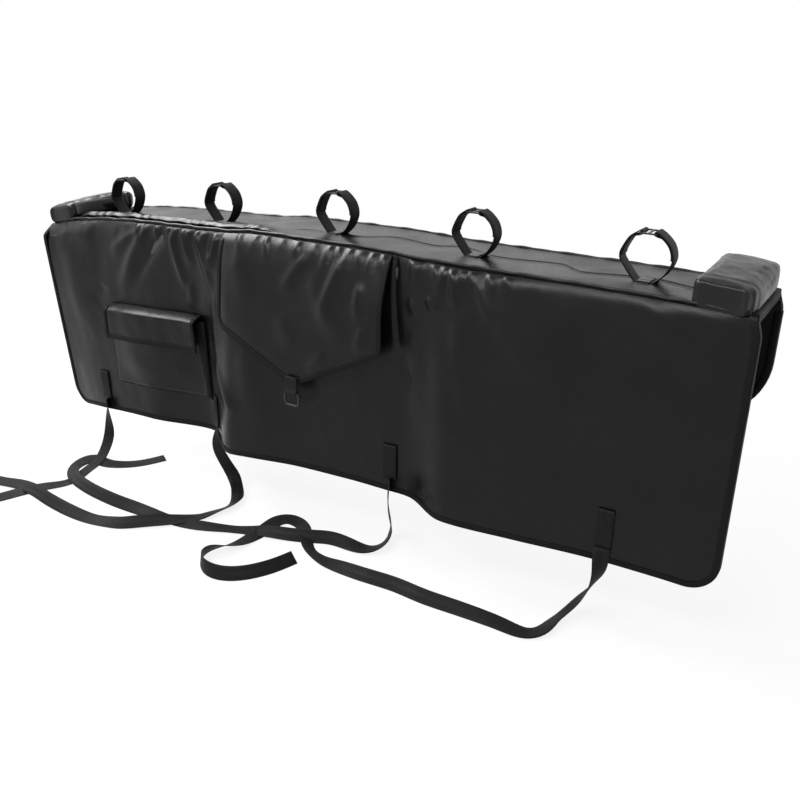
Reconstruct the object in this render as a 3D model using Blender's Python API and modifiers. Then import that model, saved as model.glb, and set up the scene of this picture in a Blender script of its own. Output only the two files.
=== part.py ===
# Tailgate bike pad: a padded, coated-fabric saddle for the top of a pickup tailgate.
# Metres, +Z up, X along the pad, the front panel faces -Y.
# The origin is the middle of the seat, the flat underside that lies on the tailgate's top edge.

import bmesh
import bpy
import numpy as np
from math import cos, pi, radians, sin

# Overall sizes of the sewn pad
PAD_LENGTH = 1.380
TOP_DEPTH = 0.155
FRONT_DROP = 0.405
BACK_DROP = 0.205
SIDE_FLARE = 0.007
FRONT_CORNER = 0.045
BACK_CORNER = 0.100

# Layers of the pad
COVER_THICK = 0.0010
LINING_THICK = 0.0008
TOP_FOAM = 0.0076
PANEL_FOAM = 0.0060
TOUCH = 0.0003
LAYER_EASE = 0.0025
LAYER_START = 0.014
TOP_EASE = 0.0010

# Edge tape and piping
TAPE_THICK = 0.0008
TAPE_WIDTH = 0.0085
TAPE_EASE = 0.0016
TAPE_CLEAR = 0.0007
PIPING_RADIUS = 0.0025

# Drape of the sewn pad: places are shares of half its length, the rest is in metres
TOP_SAG = ((-1.00, 0.040), (-0.87, 0.025), (-0.64, 0.0125), (-0.29, 0.006), (-0.17, 0.0),
           (0.12, 0.0), (0.33, 0.0055), (0.75, 0.0085), (0.90, 0.0115), (1.00, 0.0175))
FRONT_SWAY = ((-1.00, 0.004), (-0.84, 0.020), (-0.63, 0.021), (-0.41, -0.002), (-0.235, 0.066),
              (-0.03, 0.040), (0.22, 0.023), (0.28, 0.018), (0.41, 0.055), (0.58, 0.040),
              (0.75, 0.021), (0.94, 0.008), (1.00, 0.002))
SHOULDER = ((-1.00, 0.024), (-0.72, 0.010), (0.00, 0.007), (1.00, 0.002))
SHOULDER_REACH = 0.030
BACK_SWAY = ((-1.00, 0.000), (-0.50, 0.003), (0.00, 0.001), (0.45, 0.003), (1.00, 0.000))
PUCKER_ZONES = ((-0.63, -0.26), (0.22, 0.47))
FLAP_PUCKERS = ((-0.32, -0.16), (-0.02, 0.27))
TOP_PUCKERS = ((-0.63, -0.10),)
PUCKER_PITCH = 0.044
PUCKER_HEIGHT = 0.005
PUCKER_REACH = 0.014
TOP_FOAM_JOINT = -0.64
TOP_RIDGE_Y = -0.053
TOP_RIDGE_HEIGHT = 0.0022
TOP_RIDGE_WIDTH = 0.006
TOP_RIDGE_REACH = 0.85

# Columns of the panels: start as a share of half the length, step of the layers, step of the cover
COLUMN_ZONES = ((-1.0, 0.050, 0.050), (-0.63, 0.050, 0.018), (-0.48, 0.024, 0.018),
                (-0.27, 0.024, 0.024), (-0.19, 0.055, 0.055), (0.13, 0.030, 0.030),
                (0.23, 0.024, 0.018), (0.47, 0.050, 0.050))
PUCKER_STEP = 0.018
SAG_STEPS = 3
BACK_STEP = 0.070
CORNER_STEPS = 4

# Access window in the front panel, and the flap that covers it
WINDOW_SPAN = (-0.19, 0.13)
WINDOW_TOP = 0.055
WINDOW_BOTTOM = 0.165
FLAP_LEFT = -0.195
FLAP_RIGHT = 0.160
FLAP_SIDE_DROP = 0.150
FLAP_TIP_DROP = 0.238
FLAP_TIP_X = -0.018
FLAP_TIP_HALF = 0.022
FLAP_STANDOFF = 0.0050
FLAP_LIFT = 0.020
FLAP_THICK = 0.0016

# Tool pocket on the front panel
POCKET_LEFT = -0.517
POCKET_RIGHT = -0.262
POCKET_TOP = 0.176
POCKET_BOTTOM = 0.336
POCKET_DEPTH = 0.014
POCKET_FLAP_TOP = 0.164
POCKET_FLAP_DROP = 0.068
POCKET_FLAP_STANDOFF = 0.026
POCKET_FLAP_OVERHANG = 0.006

# Bolsters across both ends of the top
BOLSTER_WIDTH = 0.074
BOLSTER_HEIGHT = 0.036
BOLSTER_EDGE = 0.011
BOLSTER_SETBACK = 0.006
BOLSTER_FOAM_GAP = 0.0009
BOLSTER_CUTS = 3
ROUNDING_STEPS = 3
LEAST_ROUNDING = 0.2

# Webbing, bike straps and their sliders
WEB_WIDTH = 0.025
WEB_THICK = 0.0014
STRAP_COUNT = 5
STRAP_PITCH = 0.262
STRAP_MIDDLE_X = 0.008
STRAP_Y = -0.018
RING_HALF = ((0.0, 0.0), (0.0115, 0.0), (0.0265, 0.0130), (0.0355, 0.0330), (0.0315, 0.0510),
             (0.0205, 0.0630))
RING_BAR_X = 0.0105
RING_BAR_Z = 0.0665
RING_LEAN = radians(33)
RING_FOLD_BACK = 0.028
KEEPER_WIDTH = 0.018
KEEPER_HALF = 0.021
KEEPER_THICK = 0.0010
SLIDER_HALF_WIDTH = 0.0158
SLIDER_THICK = 0.0020
BAR_WIDTH = 0.0024
SLOT_WIDTH = 0.0262

# Hold-down straps: sewn anchors on the front, buckles on the back flap
ANCHOR_X = (-0.566, -0.240, 0.163, 0.537)
ANCHOR_TOP = 0.318
ANCHOR_LENGTH = 0.062
BUCKLE_TAB_TOP = 0.120
BUCKLE_TAB_LENGTH = 0.045
BUCKLE_LENGTH = 0.024
TIP_TAB_LENGTH = 0.026
TIP_TAB_START = 0.010
TIP_RING_LENGTH = 0.030
TIP_STANDOFF = 0.0021

# Routes of the four free straps on the ground, as x, y and lift above it
GROUND_Z = -0.524
STRAP_ROUTES = (
    ((-0.583, -0.104, 0.000), (-0.559, -0.140, 0.004), (-0.553, -0.185, 0.001),
     (-0.536, -0.241, 0.000), (-0.566, -0.292, 0.000), (-0.581, -0.326, 0.000),
     (-0.600, -0.370, 0.000), (-0.640, -0.455, 0.000), (-0.684, -0.540, 0.000),
     (-0.703, -0.630, 0.000), (-0.680, -0.704, 0.000), (-0.610, -0.746, 0.000),
     (-0.525, -0.739, 0.000), (-0.458, -0.690, 0.000), (-0.432, -0.612, 0.000),
     (-0.455, -0.530, 0.000), (-0.520, -0.485, 0.000), (-0.582, -0.499, 0.000),
     (-0.604, -0.535, 0.000)),
    ((-0.212, -0.068, 0.000), (-0.180, -0.122, 0.000), (-0.194, -0.168, 0.001),
     (-0.217, -0.214, 0.004), (-0.268, -0.268, 0.003), (-0.305, -0.296, 0.000),
     (-0.356, -0.312, 0.000), (-0.416, -0.320, 0.000), (-0.496, -0.318, 0.001),
     (-0.545, -0.312, 0.004), (-0.600, -0.310, 0.004), (-0.661, -0.319, 0.000),
     (-0.740, -0.333, 0.000), (-0.812, -0.358, 0.000), (-0.860, -0.418, 0.000),
     (-0.870, -0.497, 0.000), (-0.842, -0.570, 0.000), (-0.779, -0.606, 0.000),
     (-0.760, -0.607, 0.000)),
    ((0.123, -0.031, 0.000), (0.143, -0.059, 0.000), (0.149, -0.090, 0.000),
     (0.137, -0.113, 0.000), (0.105, -0.123, 0.000), (0.054, -0.126, 0.000),
     (0.017, -0.144, 0.000), (-0.022, -0.162, 0.002), (-0.061, -0.175, 0.004),
     (-0.102, -0.184, 0.002), (-0.136, -0.199, 0.000), (-0.184, -0.222, 0.000),
     (-0.249, -0.234, 0.000), (-0.318, -0.244, 0.000), (-0.396, -0.249, 0.000),
     (-0.480, -0.244, 0.002), (-0.548, -0.225, 0.004), (-0.583, -0.187, 0.002),
     (-0.577, -0.150, 0.000), (-0.532, -0.148, 0.000), (-0.485, -0.114, 0.000),
     (-0.454, -0.061, 0.000)),
    ((0.483, -0.075, 0.000), (0.485, -0.121, 0.000), (0.481, -0.152, 0.000),
     (0.457, -0.172, 0.000), (0.408, -0.173, 0.000), (0.349, -0.177, 0.000),
     (0.284, -0.182, 0.000), (0.224, -0.180, 0.000), (0.167, -0.186, 0.000),
     (0.102, -0.187, 0.000), (0.052, -0.179, 0.001), (0.023, -0.160, 0.004),
     (-0.014, -0.122, 0.003), (-0.055, -0.108, 0.000), (-0.074, -0.132, 0.000),
     (-0.070, -0.165, 0.000), (-0.076, -0.204, 0.000), (-0.083, -0.242, 0.000),
     (-0.105, -0.273, 0.000), (-0.098, -0.302, 0.000), (-0.066, -0.320, 0.000),
     (-0.033, -0.316, 0.000), (-0.003, -0.293, 0.000), (0.022, -0.253, 0.000),
     (0.036, -0.210, 0.000)),
)
STRAP_STEP = 0.023

# Finishes: colour, roughness and metallic value
FINISHES = {
    "coated_fabric": ((0.020, 0.020, 0.021), 0.42, 0.0),
    "foam": ((0.060, 0.060, 0.062), 0.95, 0.0),
    "lining": ((0.012, 0.012, 0.012), 0.90, 0.0),
    "tape": ((0.009, 0.009, 0.009), 0.75, 0.0),
    "webbing": ((0.014, 0.014, 0.014), 0.80, 0.0),
    "moulded_plastic": ((0.013, 0.013, 0.014), 0.45, 0.0),
}

HALF_LENGTH = PAD_LENGTH / 2
HALF_DEPTH = TOP_DEPTH / 2
PANEL_HALF = HALF_LENGTH + SIDE_FLARE
TOP_STACK = LINING_THICK + TOUCH + TOP_FOAM + TOP_EASE + TOUCH + COVER_THICK
PANEL_STACK = COVER_THICK + LAYER_EASE + PANEL_FOAM + TOUCH + LINING_THICK


def smooth_through(points, at):
    """A curve through hand-set points that never overshoots them (monotone cubic)."""
    px, py = np.array(points, float).T
    step = np.diff(px)
    rise = np.diff(py) / step
    slope = np.zeros_like(py)
    same = rise[:-1] * rise[1:] > 0
    mean = 2 * rise[:-1] * rise[1:] / np.where(same, rise[:-1] + rise[1:], 1)
    slope[1:-1] = np.where(same, mean, 0)
    slope[0], slope[-1] = rise[0], rise[-1]
    at = np.clip(at, px[0], px[-1])
    k = np.clip(np.searchsorted(px, at, side="right") - 1, 0, len(step) - 1)
    t = (at - px[k]) / step[k]
    h = step[k]
    return (py[k] * (1 + 2 * t) * (1 - t) ** 2 + slope[k] * h * t * (1 - t) ** 2
            + py[k + 1] * t * t * (3 - 2 * t) + slope[k + 1] * h * t * t * (t - 1))


def ease(t):
    """0 to 1 with flat ends."""
    t = np.clip(t, 0, 1)
    return t * t * (3 - 2 * t)


def spline(points, step):
    """Points at an even spacing along a smooth open curve through the given points."""
    p = np.array(points, float)
    p = np.vstack([2 * p[0] - p[1], p, 2 * p[-1] - p[-2]])
    t = np.linspace(0, 1, 12, endpoint=False)[:, None]
    runs = []
    for a, b, c, d in zip(p[:-3], p[1:-2], p[2:-1], p[3:]):
        runs.append(0.5 * (2 * b + (c - a) * t + (2 * a - 5 * b + 4 * c - d) * t ** 2
                           + (3 * b - a - 3 * c + d) * t ** 3))
    fine = np.vstack(runs + [p[-2:-1]])
    along = np.concatenate([[0], np.cumsum(np.linalg.norm(np.diff(fine, axis=0), axis=1))])
    count = max(2, round(along[-1] / step) + 1)
    even = np.linspace(0, along[-1], count)
    return np.stack([np.interp(even, along, fine[:, k]) for k in range(3)], 1)


def unit(v):
    return v / np.linalg.norm(v, axis=-1, keepdims=True)


def finish(name):
    """The Principled material of one finish, made once."""
    made = bpy.data.materials.get(name)
    if made:
        return made
    colour, roughness, metallic = FINISHES[name]
    made = bpy.data.materials.new(name)
    made.use_nodes = True
    shader = made.node_tree.nodes["Principled BSDF"]
    shader.inputs["Base Color"].default_value = (*colour, 1)
    shader.inputs["Roughness"].default_value = roughness
    shader.inputs["Metallic"].default_value = metallic
    return made


def own_finish(obj, name):
    """Gives an object its own copy of a finish."""
    copy = finish(name).copy()
    copy.name = f"{name}_{obj.name}"
    obj.data.materials.append(copy)


def new_object(name, mesh, finish_name):
    obj = bpy.data.objects.new(name, mesh)
    pad.objects.link(obj)
    own_finish(obj, finish_name)
    return obj


def mesh_from(name, points, faces):
    mesh = bpy.data.meshes.new(name)
    mesh.from_pydata(np.asarray(points).reshape(-1, 3).tolist(), [], faces)
    mesh.update()
    return mesh


def sheet(name, grid, outward, thick, finish_name, keep=None):
    """A fabric or foam layer: an open grid surface given its thickness inwards by Solidify."""
    rows, cols = grid.shape[:2]
    at = np.arange(rows * cols).reshape(rows, cols)
    quads = np.stack([at[:-1, :-1], at[1:, :-1], at[1:, 1:], at[:-1, 1:]], -1)
    normal = np.cross(grid[1:, :-1] - grid[:-1, 1:], grid[1:, 1:] - grid[:-1, :-1]).sum((0, 1))
    if normal @ np.array(outward) < 0:
        quads = quads[..., ::-1]
    if keep is not None:
        quads = quads[keep]
    mesh = mesh_from(name, grid, quads.reshape(-1, 4).tolist())
    loose = bmesh.new()
    loose.from_mesh(mesh)
    bmesh.ops.delete(loose, geom=[v for v in loose.verts if not v.link_faces], context="VERTS")
    loose.to_mesh(mesh)
    loose.free()
    mesh.shade_smooth()
    obj = new_object(name, mesh, finish_name)
    shell = obj.modifiers.new("Thickness", "SOLIDIFY")
    shell.thickness = thick
    shell.offset = -1
    return obj


def loft(name, rings, finish_name, closed=False, floor=True):
    """A solid whose cross-section rings follow one another, capped at open ends. Without a floor
    it is a shell that is open between the last and first points of its rings."""
    rings = np.asarray(rings)
    count, size = rings.shape[:2]
    at = np.arange(count * size).reshape(count, size)
    first = at if closed else at[:-1]
    second = np.roll(at, -1, axis=0) if closed else at[1:]
    sides = np.stack([first, second, np.roll(second, -1, axis=1), np.roll(first, -1, axis=1)], -1)
    faces = (sides if floor else sides[:, :-1]).reshape(-1, 4).tolist()
    if not closed:
        faces += [at[0].tolist(), at[-1, ::-1].tolist()]
    mesh = mesh_from(name, rings, faces)
    if floor:
        solid = bmesh.new()
        solid.from_mesh(mesh)
        bmesh.ops.recalc_face_normals(solid, faces=solid.faces)
        solid.to_mesh(mesh)
        solid.free()
    mesh.shade_flat()
    return new_object(name, mesh, finish_name)


def ribbon(name, path, across, width, thick, finish_name):
    """Flat webbing: a thin rectangle carried along a path, its width along `across`."""
    path = np.asarray(path)
    across = unit(np.broadcast_to(across, path.shape).astype(float))
    normal = unit(np.cross(np.gradient(path, axis=0), across))
    corners = ((-1, -1), (1, -1), (1, 1), (-1, 1))
    rings = np.stack([path + across * a * width / 2 + normal * b * thick / 2
                      for a, b in corners], 1)
    return loft(name, rings, finish_name)


def edge_tape(name, edge, inward, normal, stack, finish_name="tape", closed=False):
    """Folded tape round an edge: a U that grips the stack of layers, carried along the edge."""
    over = TAPE_CLEAR
    under = -(stack + TAPE_EASE)
    lip, tape = TAPE_WIDTH, TAPE_THICK
    back = -TOUCH
    section = ((lip, over + tape), (back - tape, over + tape), (back - tape, under - tape),
               (lip, under - tape), (lip, under), (back, under), (back, over), (lip, over))
    rings = np.stack([edge + inward * a + normal * b for a, b in section], 1)
    return loft(name, rings, finish_name, closed)


def plate(name, outline, holes, thick, centre, turn, finish_name):
    """A flat moulded plate with holes: a filled 2D curve extruded to its thickness."""
    curve = bpy.data.curves.new(name, "CURVE")
    curve.dimensions = "2D"
    curve.fill_mode = "BOTH"
    curve.extrude = thick / 2
    for ring in (outline, *holes):
        line = curve.splines.new("POLY")
        line.points.add(len(ring) - 1)
        line.points.foreach_set("co", [v for x, y in ring for v in (x, y, 0, 1)])
        line.use_cyclic_u = True
    obj = bpy.data.objects.new(name, curve)
    obj.location = centre
    obj.rotation_euler = turn
    pad.objects.link(obj)
    own_finish(obj, finish_name)
    return obj


def rounded_box_outline(half_x, half_y, radius, shift=(0, 0), steps=2):
    """The corner arcs of a rounded rectangle, counter-clockwise."""
    ring = []
    for turn in range(4):
        sx, sy = ((1, 1), (-1, 1), (-1, -1), (1, -1))[turn]
        for a in np.linspace(0, pi / 2, steps) + turn * pi / 2:
            ring.append((shift[0] + sx * (half_x - radius) + radius * cos(a),
                         shift[1] + sy * (half_y - radius) + radius * sin(a)))
    return ring


def tube(name, path, radius, finish_name):
    """Piping: a round curve with filled caps."""
    curve = bpy.data.curves.new(name, "CURVE")
    curve.dimensions = "3D"
    curve.bevel_depth = radius
    curve.bevel_resolution = 1
    curve.use_fill_caps = True
    line = curve.splines.new("POLY")
    line.points.add(len(path) - 1)
    line.points.foreach_set("co", np.hstack([path, np.ones((len(path), 1))]).ravel())
    obj = bpy.data.objects.new(name, curve)
    pad.objects.link(obj)
    own_finish(obj, finish_name)
    return obj


def sag(x):
    """How far the top has dropped at x."""
    return smooth_through(TOP_SAG, np.asarray(x) / HALF_LENGTH)


def stations(is_cover, half, corner):
    """Column places across a panel, closer where it folds, with steps round its corners."""
    starts = [row[0] * HALF_LENGTH for row in COLUMN_ZONES] + [half - corner]
    starts[0] = -(half - corner)
    runs = []
    for row, a, b in zip(COLUMN_ZONES, starts[:-1], starts[1:]):
        if b > a:
            step = row[2] if is_cover else row[1]
            count = max(1, round((b - a) / step))
            runs.append(np.linspace(a, b, count, endpoint=False))
    arc = corner_steps(half, corner)
    return np.concatenate([-arc, *runs, [half - corner], arc[::-1]])


def corner_steps(half, corner):
    """Column places round a lower corner, from the side edge inwards."""
    angles = np.linspace(0, pi / 2, CORNER_STEPS, endpoint=False)
    return half - corner * (1 - np.cos(angles))


def lower_edge(x, half, drop, corner):
    """Drop of a panel's lower edge at x, with its rounded lower corners."""
    inset = np.clip(corner - (half - np.abs(x)), 0, corner)
    return drop - corner + np.sqrt(np.maximum(corner ** 2 - inset ** 2, 0))


def pucker(x, distance, zones=PUCKER_ZONES):
    """Height of the gathers beside a seam: short waves that die out away from it."""
    share = x / HALF_LENGTH
    strength = np.zeros_like(share)
    for a, b in zones:
        strength = np.maximum(strength, ease((share - a) / 0.05) * ease((b - share) / 0.05))
    wander = 0.35 * np.sin(2 * pi * x / 0.23) + 0.2 * np.sin(2 * pi * x / 0.091)
    wave = 0.5 + 0.5 * np.cos(2 * pi * x / PUCKER_PITCH + 2 * pi * wander)
    fade = distance / PUCKER_REACH * np.exp(1 - distance / PUCKER_REACH)
    return PUCKER_HEIGHT * strength * wave * fade


def front_forward(x, drop):
    """How far the front panel stands forward of the front seam."""
    share = x / HALF_LENGTH
    down = np.clip(drop / FRONT_DROP, 0, 1)
    fold = smooth_through(FRONT_SWAY, share) * down * (1.35 - 0.35 * down)
    bulge = smooth_through(SHOULDER, share) * ease(drop / SHOULDER_REACH) * (1 - down)
    return fold + bulge


def front_point(x, drop, extra=0.0):
    """A point of the front panel's outer surface, `extra` in front of its fold line."""
    reach = np.asarray(x) * (1 - SIDE_FLARE / PANEL_HALF * (1 - ease(drop / SHOULDER_REACH)))
    y = -HALF_DEPTH - front_forward(reach, drop) - extra
    return np.stack(np.broadcast_arrays(reach, y, TOP_STACK - sag(reach) - drop), -1)


def back_point(x, drop):
    """A point of the back flap's outer surface."""
    reach = np.asarray(x) * (1 - SIDE_FLARE / PANEL_HALF * (1 - ease(drop / SHOULDER_REACH)))
    y = HALF_DEPTH + smooth_through(BACK_SWAY, reach / HALF_LENGTH) * drop / BACK_DROP
    return np.stack(np.broadcast_arrays(reach, y, TOP_STACK - sag(reach) - drop), -1)


def surface_normals(grid, outward):
    across = np.gradient(grid, axis=0)
    down = np.gradient(grid, axis=1)
    normal = unit(np.cross(across, down))
    return normal * np.sign(normal @ np.array(outward, float))[..., None]


def panel_grid(point, columns, rows, half, drop, corner):
    """A panel's grid: columns across, rows down to the shaped lower edge."""
    x = columns[:, None]
    low = lower_edge(x, half, drop, corner)
    down = np.broadcast_to(np.array(rows)[None, :], (len(columns), len(rows)))
    down = np.concatenate([down, low], axis=1)
    return point(np.broadcast_to(x, down.shape), down), down


def window_mask(columns, down):
    """The cells of a front layer that are left out for the access window."""
    middle_x = (columns[1:] + columns[:-1]) / 2 / HALF_LENGTH
    middle_s = (down[0, 1:] + down[0, :-1]) / 2
    inside_x = (middle_x > WINDOW_SPAN[0]) & (middle_x < WINDOW_SPAN[1])
    inside_s = (middle_s > WINDOW_TOP) & (middle_s < WINDOW_BOTTOM)
    return ~(inside_x[:, None] & inside_s[None, :])


SEAM_GAP = PIPING_RADIUS + 4 * TOUCH
LAYER_ROWS = (LAYER_START, 0.030, WINDOW_TOP, WINDOW_BOTTOM, 0.275)
COVER_ROWS = (SEAM_GAP, *LAYER_ROWS)


def rim_path(grid):
    """The side, lower and side edges of a panel grid, with inward and outward directions."""
    normals = surface_normals(grid, (0, grid[0, 0, 1], 0))
    left, right = grid[0, 1:-1], grid[-1, 1:-1][::-1]
    edge = np.vstack([left, grid[:, -1], right])
    normal = np.vstack([normals[0, 1:-1], normals[:, -1], normals[-1, 1:-1][::-1]])
    along = unit(np.gradient(edge, axis=0))
    inward = unit(np.cross(along, normal))
    centre = np.array([0, 0, grid[..., 2].mean()])
    inward *= np.sign(((centre - edge) * inward).sum(1).mean())
    return edge, inward, normal


def front_panel():
    """Cover, foam and lining of the front panel, its edge tape and the window's tape."""
    columns = stations(True, PANEL_HALF, FRONT_CORNER)
    grid, down = panel_grid(front_point, columns, COVER_ROWS, PANEL_HALF, FRONT_DROP,
                            FRONT_CORNER)
    keep = window_mask(columns, down)
    outward = (0, -1, 0)
    cover = grid.copy()
    cover[..., 1] -= pucker(cover[..., 0], down)
    sheet("front_cover", cover, outward, COVER_THICK, "coated_fabric", keep)
    edge_tape("front_edge_tape", *rim_path(grid), PANEL_STACK)

    columns = stations(False, PANEL_HALF, FRONT_CORNER)
    grid, down = panel_grid(front_point, columns, LAYER_ROWS, PANEL_HALF, FRONT_DROP,
                            FRONT_CORNER)
    keep = window_mask(columns, down)
    normals = surface_normals(grid, outward)
    foam = grid - normals * (COVER_THICK + LAYER_EASE)
    sheet("front_foam", foam, outward, PANEL_FOAM, "foam", keep)
    lining = foam - normals * (PANEL_FOAM + TOUCH)
    sheet("front_lining", lining, outward, LINING_THICK, "lining", keep)


def window_tape():
    """The tape round the access window, a closed U."""
    left, right = WINDOW_SPAN[0] * HALF_LENGTH, WINDOW_SPAN[1] * HALF_LENGTH
    corners = ((left, WINDOW_TOP), (right, WINDOW_TOP), (right, WINDOW_BOTTOM),
               (left, WINDOW_BOTTOM))
    inward_at = ((-1, 1), (1, 1), (1, -1), (-1, -1))
    edge, inward, normal = [], [], []
    for k in range(4):
        a, b = np.array(corners[k]), np.array(corners[(k + 1) % 4])
        for t in np.linspace(0, 1, 7, endpoint=False):
            x, drop = a + (b - a) * t
            here = front_point(x, drop)
            side = front_point(x + 0.004, drop) - here
            fall = front_point(x, drop + 0.004) - here
            out = unit(np.cross(side, fall))
            if out[1] > 0:
                out = -out
            if t == 0:
                way = unit(side) * inward_at[k][0] - unit(fall) * inward_at[k][1]
            else:
                way = (-unit(fall), unit(side), unit(fall), -unit(side))[k]
            edge.append(here)
            inward.append(way)
            normal.append(out)
    edge_tape("window_tape", np.array(edge), np.array(inward), np.array(normal), PANEL_STACK,
              closed=True)


def top_stations(half, fine=()):
    """Columns of the top: a few between the places that set its sag, more in `fine` zones."""
    knots = np.array(TOP_SAG)[:, 0] * half
    runs = [np.linspace(a, b, SAG_STEPS, endpoint=False) for a, b in zip(knots, knots[1:])]
    columns = np.concatenate(runs + [[half]])
    for a, b in fine:
        low, high = a * half, b * half
        dense = np.arange(low, high, PUCKER_STEP)
        clear = (columns < low - PUCKER_STEP / 2) | (columns > high + PUCKER_STEP / 2)
        columns = np.sort(np.concatenate([columns[clear], dense]))
    return columns


def top_section():
    """Cover, foam and lining of the top, which lie on the tailgate's upper edge."""
    inner = HALF_DEPTH - SEAM_GAP
    ridge = np.array([-1.0, 0.0, 1.0]) * TOP_RIDGE_WIDTH + TOP_RIDGE_Y
    across = np.concatenate([[-inner, -inner + 0.009], ridge, [inner]])
    x, y = np.meshgrid(top_stations(HALF_LENGTH, TOP_PUCKERS), across, indexing="ij")
    z = TOP_STACK - sag(x)
    plain = ease((TOP_RIDGE_REACH - np.abs(x) / HALF_LENGTH) / 0.03)
    fold = TOP_RIDGE_HEIGHT * np.exp(-((y - TOP_RIDGE_Y) / (TOP_RIDGE_WIDTH / 2)) ** 2)
    gather = pucker(x, y + HALF_DEPTH, TOP_PUCKERS) * (y < TOP_RIDGE_Y)
    sheet("top_cover", np.stack([x, y, z + fold * plain + gather], -1), (0, 0, 1), COVER_THICK,
          "coated_fabric")
    x, y = np.meshgrid(top_stations(HALF_LENGTH), np.array([-inner, 0, inner]), indexing="ij")
    level = np.stack([x, y, LINING_THICK - sag(x)], -1)
    sheet("top_lining", level, (0, 0, 1), LINING_THICK, "lining")
    foam = level + np.array([0, 0, TOUCH + TOP_FOAM])
    joint = int(np.argmin(abs(x[:, 0] - TOP_FOAM_JOINT * HALF_LENGTH)))
    left = foam[:joint + 1].copy()
    left[-1, :, 0] -= TOUCH
    sheet("top_foam_left_slab", left, (0, 0, 1), TOP_FOAM, "foam")
    sheet("top_foam", foam[joint:], (0, 0, 1), TOP_FOAM, "foam")


def back_flap():
    """Cover, foam and lining of the flap that hangs inside the bed, and its edge tape."""
    straight = PANEL_HALF - BACK_CORNER
    middle = np.linspace(-straight, straight, round(2 * straight / BACK_STEP) + 1)
    arc = corner_steps(PANEL_HALF, BACK_CORNER)
    columns = np.concatenate([-arc, middle, arc[::-1]])
    outward = (0, 1, 0)
    shape = (PANEL_HALF, BACK_DROP, BACK_CORNER)
    grid, _ = panel_grid(back_point, columns, (SEAM_GAP, 0.030), *shape)
    sheet("back_cover", grid, outward, COVER_THICK, "coated_fabric")
    edge_tape("back_edge_tape", *rim_path(grid), PANEL_STACK)
    grid, _ = panel_grid(back_point, columns, (LAYER_START, 0.030), *shape)
    normals = surface_normals(grid, outward)
    foam = grid - normals * (COVER_THICK + LAYER_EASE)
    sheet("back_foam", foam, outward, PANEL_FOAM, "foam")
    sheet("back_lining", foam - normals * (PANEL_FOAM + TOUCH), outward, LINING_THICK, "lining")


def top_end_tapes():
    """Tape over the two cut ends of the top section."""
    reach = HALF_DEPTH - SEAM_GAP - 0.001
    y = np.linspace(-reach, reach, 5)
    for name, side in (("left", -1), ("right", 1)):
        x = side * HALF_LENGTH
        edge = np.stack([np.full_like(y, x), y, np.full_like(y, TOP_STACK - sag(x))], 1)
        slope = (sag(x) - sag(x - side * TAPE_WIDTH)) / TAPE_WIDTH
        inward = np.broadcast_to(np.array([-side, 0, slope]), edge.shape)
        normal = np.broadcast_to(np.array([0, 0, 1.0]), edge.shape)
        edge_tape(f"top_end_tape_{name}", edge, inward, normal, TOP_STACK)


def seam_piping():
    """Piping in the two long seams between the top and the hanging panels."""
    x = top_stations(HALF_LENGTH)[1:-1]
    for name, side in (("front", -1), ("back", 1)):
        y = np.full_like(x, side * (HALF_DEPTH - TOUCH))
        path = np.stack([x, y, TOP_STACK - sag(x) - TOUCH], 1)
        tube(f"{name}_seam_piping", path, PIPING_RADIUS, "tape")


def bolster_section(half_depth, height, edge):
    """Section of a bolster across the pad: an upright box with rounded upper corners."""
    turn = np.linspace(0, pi / 2, ROUNDING_STEPS)
    near = [(-half_depth, 0.0)]
    near += [(-half_depth + edge * (1 - cos(a)), height - edge * (1 - sin(a))) for a in turn]
    return np.array(near + [(-y, z) for y, z in near[::-1]])


def bolster(side, name):
    """A foam block across one end of the top, in a cover that is open where it is sewn down."""
    outer = HALF_LENGTH - TAPE_WIDTH - TOUCH
    turn = np.linspace(pi / 2, 0, ROUNDING_STEPS)
    for part, inset, lift, finish_name in (("cover", 0.0, TOUCH, "coated_fabric"),
                                           ("foam", COVER_THICK + BOLSTER_FOAM_GAP, 2 * TOUCH,
                                            "foam")):
        edge = BOLSTER_EDGE - inset
        start, end = outer - BOLSTER_WIDTH + inset, outer - inset
        ends = edge * (1 - np.sin(turn))
        middle = np.linspace(start + edge, end - edge, BOLSTER_CUTS + 2)[1:-1]
        places = np.concatenate([start + ends, middle, end - ends[::-1]])
        drawn = edge * (1 - np.cos(turn))
        drawn = np.concatenate([drawn, np.zeros(BOLSTER_CUTS), drawn[::-1]])
        rings = []
        for x, less in sorted(zip(side * places, drawn)):
            half_depth = HALF_DEPTH - BOLSTER_SETBACK - inset - less
            height = BOLSTER_HEIGHT - inset - lift - less
            section = bolster_section(half_depth, height, max(edge - less, edge * LEAST_ROUNDING))
            base = TOP_STACK - sag(x) + lift
            rings.append([(x, y, base + z) for y, z in section])
        obj = loft(f"bolster_{name}_{part}", rings, finish_name, floor=part == "foam")
        if part == "cover":
            shell = obj.modifiers.new("Thickness", "SOLIDIFY")
            shell.thickness = COVER_THICK
            shell.offset = -1


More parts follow.
